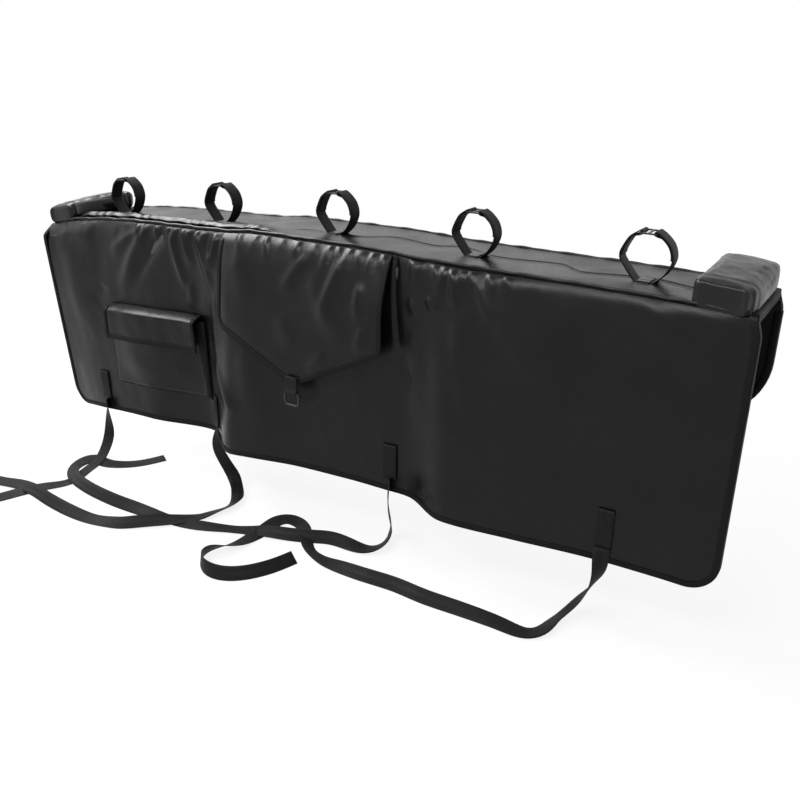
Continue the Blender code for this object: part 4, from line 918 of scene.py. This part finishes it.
def cover_relief(x, down):
    """Folds of the front cover beyond its sway: gathers, creases and a ripple that stops at its edges."""
    under_flap = ease((x - FLAP_LEFT + 0.006) / 0.010) * ease((FLAP_RIGHT + 0.006 - x) / 0.010)
    hidden = under_flap * ease((0.20 - down) / 0.03)
    low = lower_edge(x, PANEL_HALF, FRONT_DROP, FRONT_CORNER)
    rim_fade = ease((PANEL_HALF - np.abs(x) - 0.006) / 0.030) * ease((low - down - 0.006) / 0.035)
    seam_fade = ease(down / 0.012)
    hole_fade = ease((window_distance(x, down) - 0.004) / 0.02)
    calm = 1 - 0.55 * ease((x - 0.38) / 0.12)
    soft = 0.0013 * ripple(x, down, 0.16, 1.3) + 0.0006 * ripple(x, down * 0.6, 0.055, 2.9)
    near_seam = np.exp(-down / 0.05) * 0.0009 * ripple(x, down * 0.3, 0.03, 4.1)
    tucks = gathers(x, down, COVER_GATHERS) * (1 - under_flap) * ease((down - SEAM_GAP) / 0.004)
    lines = creases(x, down, COVER_CREASES) * (1 - 0.8 * hidden)
    return (tucks * rim_fade
            + (lines + (soft + near_seam) * calm) * rim_fade * seam_fade * hole_fade * (1 - 0.7 * hidden))


def front_panel():
    """Cover with folds, and foam and lining behind it; gives back the grid that the bound edge follows."""
    shape = (PANEL_HALF, FRONT_DROP, FRONT_CORNER)
    exact = (-0.45, WINDOW_SPAN[0], WINDOW_SPAN[1], 0.19, 0.38)
    columns = panel_columns(PANEL_HALF, COVER_STEP, FRONT_CORNER, exact)
    near = SEAM_GAP + (WINDOW_TOP - SEAM_GAP) * np.linspace(0, 1, 22, endpoint=False) ** 1.25
    rows = np.concatenate([near, np.linspace(WINDOW_TOP, WINDOW_BOTTOM, 26, endpoint=False),
                           np.linspace(WINDOW_BOTTOM, 0.345, 36)])
    down = panel_downs(columns, rows, *shape)
    x = np.broadcast_to(columns[:, None], down.shape)
    grid = front_point(x, down, cover_relief(x, down) + rounder(x, down) * 0.8)
    covering("front_cover_cloth", "front_cover", grid, (0, -1, 0), COVER_THICK, (2 * PANEL_HALF, FRONT_DROP),
             "hung", "front_seam_piping", window_cells(columns, down), area=FRONT_COVER_AREA)

    columns = panel_columns(PANEL_HALF, LAYER_STEP, FRONT_CORNER, exact)
    rows = np.array([LAYER_START, 0.020, 0.026, 0.034, WINDOW_TOP, 0.090, 0.130, WINDOW_BOTTOM, 0.220, 0.280,
                     0.330])
    down = panel_downs(columns, rows, *shape)
    base = panel_grid(front_point, columns, down)
    layers("front", (0, -1, 0), base, window_cells(columns, down))
    return panel_grid(front_point, columns, panel_downs(columns, (0.003, 0.006, 0.010, *rows), *shape))


def bound_edge(name, grid, stack, node):
    """Edge tape round a panel with its row of stitches."""
    edge, inward, normal = rim(grid)
    dress(sweep(name, tape_rings(edge, inward, normal, stack)), TAPE, "edge_tape", node)
    line = edge + inward * (TAPE_WIDTH - 0.0022) + normal * (TAPE_CLEAR + TAPE_THICK)
    return row_of(line, normal)


def window_tape():
    """The closed tape round the access window."""
    left, right = WINDOW_SPAN
    corners = ((left, WINDOW_TOP), (right, WINDOW_TOP), (right, WINDOW_BOTTOM), (left, WINDOW_BOTTOM))
    inward_at = ((-1, 1), (1, 1), (1, -1), (-1, -1))
    edge, inward, normal = [], [], []
    for k in range(4):
        a, b = np.array(corners[k]), np.array(corners[(k + 1) % 4])
        for t in np.linspace(0, 1, 24, endpoint=False):
            x, drop = a + (b - a) * t
            here = front_point(x, drop)
            side = unit(front_point(x + 0.004, drop) - here)
            fall = unit(front_point(x, drop + 0.004) - here)
            out = unit(np.cross(side, fall))
            edge.append(here)
            normal.append(-out if out[1] > 0 else out)
            corner = side * inward_at[k][0] - fall * inward_at[k][1]
            inward.append(corner if t == 0 else (-fall, side, fall, -side)[k])
    rings = tape_rings(np.array(edge), np.array(inward), np.array(normal), PANEL_STACK)
    dress(sweep("window_binding", rings, closed=True), TAPE, "edge_tape", "window_tape")


front_base = front_panel()
thread_rows = [bound_edge("front_edge_binding", front_base, PANEL_STACK, "front_edge_tape")]
window_tape()


# Top

def top_relief(x, y):
    """Folds of the top: hem and gathers beside the front seam, the wandering second seam and a ripple."""
    off = y + HALF_DEPTH
    seam_y = smooth_through(TOP_SEAM, x)
    here = ease((x + 0.640) / 0.02) * ease((0.602 - x) / 0.01)
    gap = y - seam_y
    seam = (0.0016 * hump(gap - 0.0045, 0.0035) + 0.0011 * hump(gap + 0.0045, 0.0035)
            - 0.0008 * hump(gap, 0.0016)) * here * (1 - ease((-0.05 - x) / 0.10))
    left = ease((-0.05 - x) / 0.10)
    share = np.clip(off / (seam_y + HALF_DEPTH + 0.012 * left), 0, 1)
    hem = (0.0012 + 0.0088 * left) * (4 * share * (1 - share)) ** 0.8
    hem *= ease((0.600 - x) / 0.02) * ease((x + 0.66) / 0.02)
    pleat = np.sin(x * 190 + 2.2 * np.sin(x * 47)) + 0.6 * np.sin(x * 97 + 1.3)
    tuck = 0.0007 * left * pleat * (off / 0.008) * np.exp(1 - off / 0.008)
    under_bolster = ease((np.abs(x) - 0.596) / 0.010)
    wide = 0.0007 * ripple(x, y, 0.14, 0.7) + 0.0003 * ripple(x, y * 0.7, 0.045, 2.2)
    sides = ease((HALF_DEPTH - SEAM_GAP - np.abs(y)) / 0.012)
    return (seam + hem + tuck) * (1 - under_bolster) + wide * sides * (1 - under_bolster)


def top_section():
    """Cover, foam and lining over the tailgate's upper edge."""
    inner = HALF_DEPTH - SEAM_GAP
    x, y = np.meshgrid(np.linspace(-HALF_LENGTH, HALF_LENGTH, 430), np.linspace(-inner, inner, 84),
                       indexing="ij")
    z = TOP_STACK - sag(x) + np.maximum(top_relief(x, y), -0.0008)
    flat = (2 * HALF_LENGTH, 2 * inner)
    covering("top_cover_cloth", "top_cover", np.stack([x, y, z], -1), (0, 0, 1), COVER_THICK, flat, "laid",
             "top_foam_sheet")
    x, y = np.meshgrid(np.linspace(-HALF_LENGTH, HALF_LENGTH, 90), np.linspace(-inner, inner, 9),
                       indexing="ij")
    level = np.stack([x, y, LINING_THICK - sag(x)], -1)
    foam = cloth("top_foam_sheet", level + np.array([0, 0, TOUCH + TOP_FOAM]), (0, 0, 1), TOP_FOAM)
    dress(foam, FOAM, "foam", "top_foam", "top_foam_left_slab")
    lining = dress(cloth("top_lining_cloth", level, (0, 0, 1), LINING_THICK), FLEECE, "lining", "top_lining")
    at = np.linspace(-0.100, 0.596, 300)
    for shift, height in ((0.0016, 0.0009), (-0.0016, 0.0006)):
        y = smooth_through(TOP_SEAM, at) + shift
        z = TOP_STACK - sag(at) + top_relief(at, y)
        thread_rows.append(row_of(np.stack([at, y, z], 1), (0, 0, 1.0)))


def end_tapes():
    """Tape over the two cut ends of the top."""
    reach = HALF_DEPTH - SEAM_GAP - 0.001
    y = np.linspace(-reach, reach, 24)
    for name, side in (("left", -1), ("right", 1)):
        x = side * HALF_LENGTH
        edge = np.stack([np.full_like(y, x), y, np.full_like(y, TOP_STACK - sag(x))], 1)
        slope = (sag(x) - sag(x - side * TAPE_WIDTH)) / TAPE_WIDTH
        inward = np.broadcast_to(np.array([-side, 0, slope]), edge.shape)
        normal = np.broadcast_to(np.array([0, 0, 1.0]), edge.shape)
        dress(sweep(f"top_end_binding_{name}", tape_rings(edge, inward, normal, TOP_STACK)), TAPE,
              "edge_tape", f"top_end_tape_{name}")


def piping():
    """Wavy round piping in the two long seams."""
    x = np.linspace(-HALF_LENGTH + 0.012, HALF_LENGTH - 0.012, 420)
    for name, side in (("front", -1), ("back", 1)):
        y = side * (HALF_DEPTH - TOUCH) + 0.0003 * np.sin(x * 57)
        z = TOP_STACK - sag(x) - TOUCH + 0.0005 * np.sin(x * 83 + 1) + 0.0003 * np.sin(x * 171)
        radius = PIPING_RADIUS * (0.96 + 0.05 * np.sin(x * 131))
        dress(rod(f"{name}_piping_cord", np.stack([x, y, z], 1), radius), COATED_LIT, "edge_tape",
              f"{name}_seam_piping")


top_section()
end_tapes()
piping()


# Back flap

def back_flap():
    """Cover, foam, lining and bound edge of the flap inside the bed."""
    shape = (PANEL_HALF, BACK_DROP, BACK_CORNER)
    columns = panel_columns(PANEL_HALF, BACK_STEP, BACK_CORNER)
    rows = np.concatenate([SEAM_GAP + 0.0265 * np.linspace(0, 1, 8, endpoint=False),
                           np.linspace(0.030, 0.098, 15)])
    down = panel_downs(columns, rows, *shape)
    x = np.broadcast_to(columns[:, None], down.shape)
    low = lower_edge(x, *shape)
    fade = (ease((PANEL_HALF - np.abs(x) - 0.006) / 0.03) * ease((low - down - 0.006) / 0.03)
            * ease(down / 0.02))
    tabs = np.min([np.abs(x - a) for a in ANCHOR_X], axis=0)
    quiet = ease((tabs - 0.016) / 0.02) + 1 - ease((down - 0.09) / 0.02)
    soft = (0.0014 * ripple(x, down, 0.15, 3.3) + 0.0006 * ripple(x, down, 0.05, 1.1)) * np.clip(quiet, 0, 1)
    covering("back_cover_cloth", "back_cover", back_point(x, down, soft * fade), (0, 1, 0), COVER_THICK,
             (2 * PANEL_HALF, BACK_DROP), "hung", "back_seam_piping")
    columns = panel_columns(PANEL_HALF, BACK_LAYER_STEP, BACK_CORNER)
    base = panel_grid(back_point, columns, panel_downs(columns, (LAYER_START, 0.030, 0.060, 0.098), *shape))
    layers("back", (0, 1, 0), base)
    thread_rows.append(bound_edge("back_edge_binding", base, PANEL_STACK, "back_edge_tape"))


back_flap()


# Access flap and tool pocket

def flap_forward(x, drop):
    """The flap's place in front of the panel: it lifts off towards its right side and gathers at its top."""
    across = (x - FLAP_LEFT) / (FLAP_RIGHT - FLAP_LEFT)
    lift = FLAP_LIFT * ease(across * 0.9 + 0.1) * ease(drop / 0.10)
    low = flap_low(x)
    fade = (ease((low - drop - 0.004) / 0.025) * ease((x - FLAP_LEFT - 0.004) / 0.02)
            * ease((FLAP_RIGHT - 0.004 - x) / 0.02))
    folds = creases(x, drop, FLAP_CREASES) + ease(drop / 0.03) * 0.0009 * (1 + ripple(x, drop, 0.09, 5.3))
    stand = (FLAP_STANDOFF + 0.006 * np.exp(-drop / 0.09)) * (1 - np.exp(-drop / 0.019))
    return (front_forward(x, drop) + rounder(x, drop) + stand + lift + TOUCH
            + gathers(x, drop, FLAP_GATHERS) * ease((x - FLAP_LEFT) / 0.01) + folds * fade)


def flap_low(x):
    """Drop of the flap's lower edge: straight sides, two slopes and a rounded tip."""
    points = ((FLAP_LEFT, FLAP_SIDE_DROP), (FLAP_LEFT + 0.010, FLAP_SIDE_DROP + 0.014),
              (FLAP_TIP_X - FLAP_TIP_HALF, FLAP_TIP_DROP - 0.003), (FLAP_TIP_X, FLAP_TIP_DROP),
              (FLAP_TIP_X + FLAP_TIP_HALF, FLAP_TIP_DROP - 0.003),
              (FLAP_RIGHT - 0.010, FLAP_SIDE_DROP + 0.012), (FLAP_RIGHT, FLAP_SIDE_DROP))
    return np.interp(x, *np.array(points).T)


def ahead_point(x, drop, forward):
    """A point that stands `forward` of the pad's front seam line."""
    return np.stack(np.broadcast_arrays(x, -HALF_DEPTH - forward, TOP_STACK - sag(x) - drop), -1)


def flap_point(x, drop):
    """A point of the flap's outer face."""
    return ahead_point(x, drop, flap_forward(x, drop) + FLAP_THICK)


def folded_tab(name, start, length, out, node):
    """A webbing tab doubled round a bar: down behind it, a half turn round it, and back up in front."""
    down = np.array([0, 0, -1.0])
    rest = TOUCH + WEB_THICK / 2
    behind = [(t, rest) for t in np.linspace(0, length, 12)]
    turn = [(length + WRAP * sin(a), rest + WRAP * (1 - cos(a))) for a in np.linspace(0, pi, 14)[1:]]
    apart = WEB_THICK + 2 * TOUCH
    front = [(length - t, rest + apart + (2 * WRAP - apart) * (1 - ease(t / 0.010)))
             for t in np.linspace(0, length, 14)[1:]]
    path = np.array([start + down * a + out * b for a, b in behind + turn + front])
    dress(band(name, path, (1, 0, 0)), WEBBING, "webbing", node)
    return start + out * (rest + 1.5 * WEB_THICK + 2 * TOUCH)


def box_stitch(face, across, out, length, half=0.0092, cross=True):
    """Thread in a box with a diagonal cross on a sewn patch, from its upper edge down."""
    down = unit(np.cross(across, out))
    down = down if down[2] < 0 else -down
    a, b = face + down * 0.004, face + down * (length - 0.004)
    corners = [a - across * half, a + across * half, b + across * half, b - across * half, a - across * half]
    if cross:
        corners += [b + across * half, a + across * half, b - across * half]
    rows = []
    for p, q in zip(corners[:-1], corners[1:]):
        rows.append(row_of(np.linspace(p, q, 8), out, 0.0032))
    return rows


def access_flap():
    """The flap over the access window, its bound edge, and the tab that holds its pull ring."""
    side = 0.010
    marks = (FLAP_LEFT, FLAP_LEFT + side, FLAP_TIP_X - FLAP_TIP_HALF, FLAP_TIP_X, FLAP_TIP_X + FLAP_TIP_HALF,
             FLAP_RIGHT - side, FLAP_RIGHT)
    runs = [np.linspace(a, b, max(1, round((b - a) / 0.0026)), endpoint=False)
            for a, b in zip(marks, marks[1:])]
    columns = np.concatenate(runs + [[FLAP_RIGHT]])
    x = columns[:, None]
    share = (np.linspace(0, 1, 76) ** 1.15)[None, :]
    down = SEAM_GAP + (flap_low(x) - SEAM_GAP) * share
    grid = flap_point(np.broadcast_to(x, down.shape), down)
    covering("access_flap_cloth", "access_flap", grid, (0, -1, 0), FLAP_THICK,
             (FLAP_RIGHT - FLAP_LEFT, FLAP_TIP_DROP), "hung", "front_cover_cloth", area=ACCESS_FLAP_AREA)
    every_third = np.unique([*range(0, len(grid), 3), len(grid) - 1])
    thread_rows.append(bound_edge("access_flap_binding", grid[every_third, 3::3],
                                  FLAP_THICK - TAPE_EASE + 2 * TOUCH, "access_flap_tape"))
    tip = flap_point(np.array(FLAP_TIP_X), np.array(FLAP_TIP_DROP))
    start = tip + np.array([0, -TIP_STANDOFF, TIP_TAB_START])
    out = np.array([0, -1.0, 0])
    face = folded_tab("flap_tip_webbing", start, TIP_TAB_LENGTH + TIP_TAB_START, out, "flap_tip_tab")
    thread_rows.extend(box_stitch(face, np.array([1.0, 0, 0]), out, 0.016, cross=False))
    low = start + np.array([0, -TOUCH - WEB_THICK - WRAP * 0.4, -TIP_TAB_LENGTH - TIP_TAB_START])
    wide, tall, r = 0.0150, 0.0230, 0.0075
    far, low_arc = wide - r, 2 * r - tall
    arcs = ((far, 0, 0), (-far, 0, 0.5), (-far, low_arc, 1), (far, low_arc, 1.5))
    path = [low + np.array([cx + r * cos(pi * (q + t)), 0, cz + r * sin(pi * (q + t)) - r + 0.0012])
            for cx, cz, q in arcs for t in np.linspace(0, 0.5, 8)]
    dress(closed_rod("pull_ring", np.array(path), 0.0021), PLASTIC, "moulded_plastic", "flap_tip_ring")


def pocket_point(x, drop, forward):
    """A point of the pocket that stands `forward` of the front panel."""
    return ahead_point(x, drop, front_forward(x, drop) + forward)


def tool_pocket():
    """The bellows pocket, open at its top, and the flap that stands off over it."""
    x, drop = np.meshgrid(np.linspace(POCKET_LEFT, POCKET_RIGHT, 104),
                          np.linspace(POCKET_TOP, POCKET_BOTTOM, 66), indexing="ij")
    side = np.minimum(x - POCKET_LEFT, POCKET_RIGHT - x)
    wall = ease(side / 0.005) * ease((POCKET_BOTTOM - drop) / 0.008)
    belly = ease(side / 0.08) * ease((POCKET_BOTTOM - drop) / 0.06)
    soft = 0.0010 * ripple(x, drop, 0.075, 2.1) * belly
    line = -0.0010 * hump(side - 0.007, 0.002) * ease((POCKET_BOTTOM - drop) / 0.02)
    forward = COVER_THICK + 2 * TOUCH + POCKET_DEPTH * (0.45 * wall + 0.55 * belly) + soft + line
    body = covering("pocket_body_cloth", "pocket_body", pocket_point(x, drop, forward), (0, -1, 0),
                    COVER_THICK, POCKET_FLAT, "hung", "front_cover_cloth")
    # Painted shade: strips along the pocket's sides, widening towards the bottom on the right, get the dull,
    # dark-looking tape finish for the shadow beside the pocket's sides.
    body.data.materials.append(TAPE)
    on_right = x > (POCKET_LEFT + POCKET_RIGHT) / 2
    shade_width = np.where(on_right, 0.010 + 0.012 * ease((POCKET_BOTTOM - drop) / 0.16), 0.006)
    shaded_sides = side[1:, 1:] < shade_width[1:, 1:]
    body.data.polygons.foreach_set("material_index", shaded_sides.ravel().astype(np.int32))
    left, right = POCKET_LEFT + POCKET_FLAP_INSET, POCKET_RIGHT - POCKET_FLAP_INSET
    x, part = np.meshgrid(np.linspace(left, right, 100), np.linspace(0, 1, 34), indexing="ij")
    drop = POCKET_FLAP_TOP + POCKET_FLAP_DROP * part ** 1.25
    dents = 0.0014 * ripple(x, drop, 0.06, 6.1) * ease(part / 0.2) * ease((1.0 - part) / 0.25)
    forward = FLAP_THICK - TOUCH + POCKET_FLAP_STANDOFF * ease(part / 0.26) ** 0.6 + dents
    grid = pocket_point(x, drop, forward)
    covering("pocket_flap_cloth", "pocket_flap", grid, (0, -1, 0), FLAP_THICK,
             (right - left, POCKET_FLAP_FLAT_DROP), "hung", "front_cover_cloth")
    thread_rows.append(bound_edge("pocket_flap_binding", grid[:, 3:], FLAP_THICK - TAPE_EASE + 2 * TOUCH,
                                  "pocket_flap_tape"))


access_flap()
tool_pocket()


# Bolsters

def block(width, depth, height, power, rows=48, cols=64):
    """A rounded block: a superellipse section of the given power swept to two closed ends by another."""
    v = np.linspace(-1, 1, rows)[:, None] * (pi / 2)
    u = np.linspace(0, 2 * pi, cols, endpoint=False)[None, :]
    bend = lambda t: np.sign(t) * np.abs(t) ** (2 / power)
    shrink = np.abs(np.cos(v)) ** (2 / 12)
    return np.stack([width / 2 * shrink * bend(np.cos(u)), depth / 2 * bend(np.sin(v)) + 0 * u,
                     height / 2 * (1 + 0 * v) * shrink * bend(np.sin(u)) + height / 2], -1)


def closed_block(name, grid):
    """Closes a block's two ends with single poles."""
    rows, cols = grid.shape[:2]
    body = grid[1:-1]
    ends = np.stack([grid[0].mean(0), grid[-1].mean(0)])
    at = np.arange((rows - 2) * cols).reshape(rows - 2, cols)
    n = (rows - 2) * cols
    first = np.stack([at[0], np.roll(at[0], -1), np.full(cols, n)], 1).tolist()
    last = np.stack([np.roll(at[-1], -1), at[-1], np.full(cols, n + 1)], 1).tolist()
    return turned_out(mesh_from(name, np.vstack([body.reshape(-1, 3), ends]), around(at) + first + last))


def swollen(obj, voxel, pressure, cap):
    """Stuffs a closed shape as cloth under pressure, its underside held, and caps how far a point moves."""
    even = obj.modifiers.new("Even mesh", "REMESH")
    even.mode, even.voxel_size = "VOXEL", voxel
    graph = bpy.context.evaluated_depsgraph_get()
    mesh = bpy.data.meshes.new_from_object(obj.evaluated_get(graph))
    obj.modifiers.clear()
    obj.data = mesh
    start = np.empty(len(mesh.vertices) * 3)
    mesh.vertices.foreach_get("co", start)
    start = start.reshape(-1, 3)
    held = obj.vertex_groups.new(name="held")
    held.add(np.flatnonzero(start[:, 2] < start[:, 2].min() + 0.004).tolist(), 1.0, "REPLACE")
    cloth_sim = obj.modifiers.new("Stuffing", "CLOTH")
    cloth_sim.settings.use_pressure = True
    cloth_sim.settings.uniform_pressure_force = pressure
    cloth_sim.settings.effector_weights.gravity = 0
    cloth_sim.settings.vertex_group_mass = "held"
    for number in range(1, 21):
        scene.frame_set(number)
    graph = bpy.context.evaluated_depsgraph_get()
    after = np.empty(len(start) * 3)
    obj.evaluated_get(graph).data.vertices.foreach_get("co", after)
    move = after.reshape(-1, 3) - start
    size = np.linalg.norm(move, axis=1, keepdims=True)
    start = start + move * np.minimum(1, cap / np.maximum(size, 1e-9))
    obj.modifiers.clear()
    obj.vertex_groups.clear()
    scene.frame_set(1)
    return start


def bolster(side, name, power):
    """A stuffed block across one end of the top: swollen cloth, then its end seams, tucks and ripples,
    laid on the sagging top."""
    outer = HALF_LENGTH - TAPE_WIDTH - TOUCH
    depth = 2 * (HALF_DEPTH - BOLSTER_SETBACK)
    middle_x = side * (outer - BOLSTER_WIDTH / 2)
    grid = block(BOLSTER_WIDTH - 0.001, depth - 0.001, BOLSTER_HEIGHT - 0.001, power)
    cover = closed_block(f"bolster_{name}_cloth", grid)
    place = swollen(cover, BOLSTER_VOXEL, BOLSTER_PRESSURE, BOLSTER_GIVE)
    x, y, z = place.T
    end = depth / 2 - np.abs(y)
    lift = (0.0014 * hump(end - 0.0125, 0.0036) - 0.0024 * hump(end - 0.0195, 0.0026)
            + 0.0012 * hump(end - 0.0260, 0.0040)) * (1 if side < 0 else 0.25)
    from_edge = BOLSTER_WIDTH / 2 - np.abs(x)
    long_edge = 0.0004 * hump(0.009 - from_edge, 0.0028) * (z > 0.02)
    dent = 0.0007 * ripple(x, y, 0.05, 3.0 + side) + 0.0004 * ripple(x + z, y, 0.02, 1.0)
    tuck_x = (BOLSTER_WIDTH / 2 - 0.010) * side
    front = ease((0.012 - (y + depth / 2)) / 0.008)
    bend = (x - tuck_x - side * 0.004 * np.sin(pi * z / BOLSTER_HEIGHT)) * side
    tuck = (0.0046 * hump(bend + 0.0045, 0.0036) - 0.0034 * hump(bend - 0.0015, 0.0024)
            ) * front * ease(z / 0.008)
    away = unit(np.stack([x * 0.6, y * 0.12, z - BOLSTER_HEIGHT * 0.35], 1))
    place = place + away * (lift + long_edge + dent)[:, None] * ease(z / 0.006)[:, None]
    place[:, 1] -= tuck
    near = ease((0.03 - place[:, 1]) / 0.10)
    place[:, 0] += middle_x + side * BOLSTER_OUT - BOLSTER_SWING[side] * near
    place[:, 1] -= BOLSTER_FORWARD * near
    droop = BOLSTER_SINK * near + BOLSTER_EDGE_SINK * ease((0.014 - place[:, 2]) / 0.014)
    place[:, 2] = np.maximum(place[:, 2], 0.0002)
    place[:, 2] += TOP_STACK - sag(place[:, 0]) + TOUCH - droop
    cover.data.vertices.foreach_set("co", place.ravel())
    cover.data.update()
    cover.data.shade_smooth()
    smooth = cover.modifiers.new("Smooth", "SUBSURF")
    smooth.levels = smooth.render_levels = 1
    dress(cover, COATED_LIT, "coated_fabric", f"bolster_{name}_cover")

    inner = block(BOLSTER_WIDTH - 0.016, depth - 0.016, BOLSTER_HEIGHT - 0.010, 5, 24, 32)
    inner[..., 0] += middle_x
    inner[..., 2] += TOP_STACK - sag(inner[..., 0]) + 0.003
    foam = closed_block(f"bolster_{name}_core", inner)
    dress(foam, FOAM, "foam", f"bolster_{name}_foam")


bolster(-1, "left", 3.8)
bolster(1, "right", 7.0)


# Bike straps

def ring_curve(points):
    """Half of a strap's ring in the x-z plane: out from the middle of its base, up to the slider, a half
    turn round the slider's bar, and the doubled tail back down inside."""
    half = [(x, 0.0, z) for x, z in points]
    away = np.array([cos(RING_LEAN), 0, -sin(RING_LEAN)])
    up = np.array([sin(RING_LEAN), 0, cos(RING_LEAN)])
    bar = np.array([RING_BAR_X, 0, RING_BAR_Z])
    outer = even_curve(half + [tuple(bar + up * WRAP)], 0.0032)
    outer[:, 2] = np.maximum(outer[:, 2], 0)
    turns = np.linspace(0, pi, 12)[1:]
    fold = np.array([bar + WRAP * (cos(a) * up - sin(a) * away) for a in turns])
    back = outer[::-1]
    gone = arc_length(back)
    tangent = unit(np.gradient(back, axis=0))
    inward = np.stack([-tangent[:, 2], np.zeros(len(back)), tangent[:, 0]], 1)
    inward *= np.sign((inward @ np.array([-1.0, 0, 0])).sum())
    apart = 2 * WRAP + (WEB_THICK + 2 * TOUCH - 2 * WRAP) * ease(gone / 0.012)
    inner = (back + inward * apart[:, None])[(gone > 0.003) & (gone < RING_FOLD_BACK)]
    return np.vstack([outer, fold, inner])


def bike_straps():
    """Five webbing rings and the keepers that sew them down."""
    left, right = ring_curve(RING_LEFT), ring_curve(RING_RIGHT)
    whole = np.vstack([(left * (-1, 1, 1))[:0:-1], right])
    for k, x in enumerate(RING_X):
        under = max(float(sag(x)), 0)
        lean = float(sag(x - KEEPER_WIDTH / 2) - sag(x + KEEPER_WIDTH / 2)) / KEEPER_WIDTH
        base = np.array([x, STRAP_Y, TOP_STACK - under + TOUCH * 2 + WEB_THICK / 2])
        nothing = whole[:, 0] * 0
        path = whole + base + np.stack([nothing, nothing, whole[:, 0] * lean], 1)
        dress(band(f"bike_ring_{k + 1}", path, (0, 1, 0), thick=RING_THICK), WEBBING, "webbing",
              f"bike_strap_{k + 1}")
        low = TOP_STACK - under + TOUCH * 2 + KEEPER_THICK / 2
        high = TOP_STACK - under + TOUCH * 4 + WEB_THICK + KEEPER_THICK / 2
        step = WEB_WIDTH / 2 + 0.0015
        y = np.linspace(-KEEPER_HALF, KEEPER_HALF, 40)
        z = low + (high - low) * ease((step + 0.0022 - np.abs(y)) / 0.0022) + 0.0003 * np.cos(y * 400)
        tab = np.stack([np.full(40, x), STRAP_Y + y, z], 1)
        dress(band(f"ring_keeper_{k + 1}", tab, (1, 0, lean), KEEPER_WIDTH, KEEPER_THICK), COATED_LIT,
              "coated_fabric", f"strap_keeper_{k + 1}")
        for end in (-1, 1):
            line_y = STRAP_Y + end * (KEEPER_HALF - 0.0028)
            line = np.stack([np.linspace(x - 0.007, x + 0.007, 6), np.full(6, line_y),
                             low + KEEPER_THICK / 2 + lean * np.linspace(-0.007, 0.007, 6)], 1)
            thread_rows.append(row_of(line, (0, 0, 1.0), 0.0034))


bike_straps()


# Anchors, buckle tabs, and the fittings kept from the solids

def anchors():
    """Sewn anchor patches on the front and the buckle tabs on the back flap."""
    for k, x in enumerate(ANCHOR_X):
        path, side, normal = anchor_path(x)
        dress(band(f"anchor_patch_{k + 1}", path, side, WEB_WIDTH, 2 * WEB_THICK), WEBBING, "webbing",
              f"strap_anchor_{k + 1}")
        out = normal if normal[1] < 0 else -normal
        down = unit(path[-1] - path[0])
        face = path[0] + out * WEB_THICK
        thread_rows.extend(box_stitch(face, side, unit(out - (out @ down) * down), ANCHOR_LENGTH * 0.62))
        start = back_point(np.array(x), np.array(BUCKLE_TAB_TOP))
        leans = back_point(np.array(x), np.array(BUCKLE_TAB_TOP + BUCKLE_TAB_LENGTH))[1] - start[1]
        start = start + np.array([0, leans, 0])
        face = folded_tab(f"buckle_webbing_{k + 1}", start, BUCKLE_TAB_LENGTH, np.array([0, 1.0, 0]),
                          f"buckle_tab_{k + 1}")
        thread_rows.extend(box_stitch(face, np.array([1.0, 0, 0]), np.array([0, 1.0, 0]), 0.026))


anchors()
for number, rows in enumerate((thread_rows[:12], thread_rows[12:60], thread_rows[60:])):
    if rows:
        thread = stitches(f"stitching_{number + 1}", *join_rows(rows))
        dress(thread, THREAD, "edge_tape")

kept_fittings = [f"strap_slider_{k}" for k in range(1, 6)] + [f"back_buckle_{k}" for k in range(1, 5)]
for node in kept_fittings:
    mesh = bpy.data.objects[node].data
    mesh.materials.clear()
    mesh.materials.append(PLASTIC)
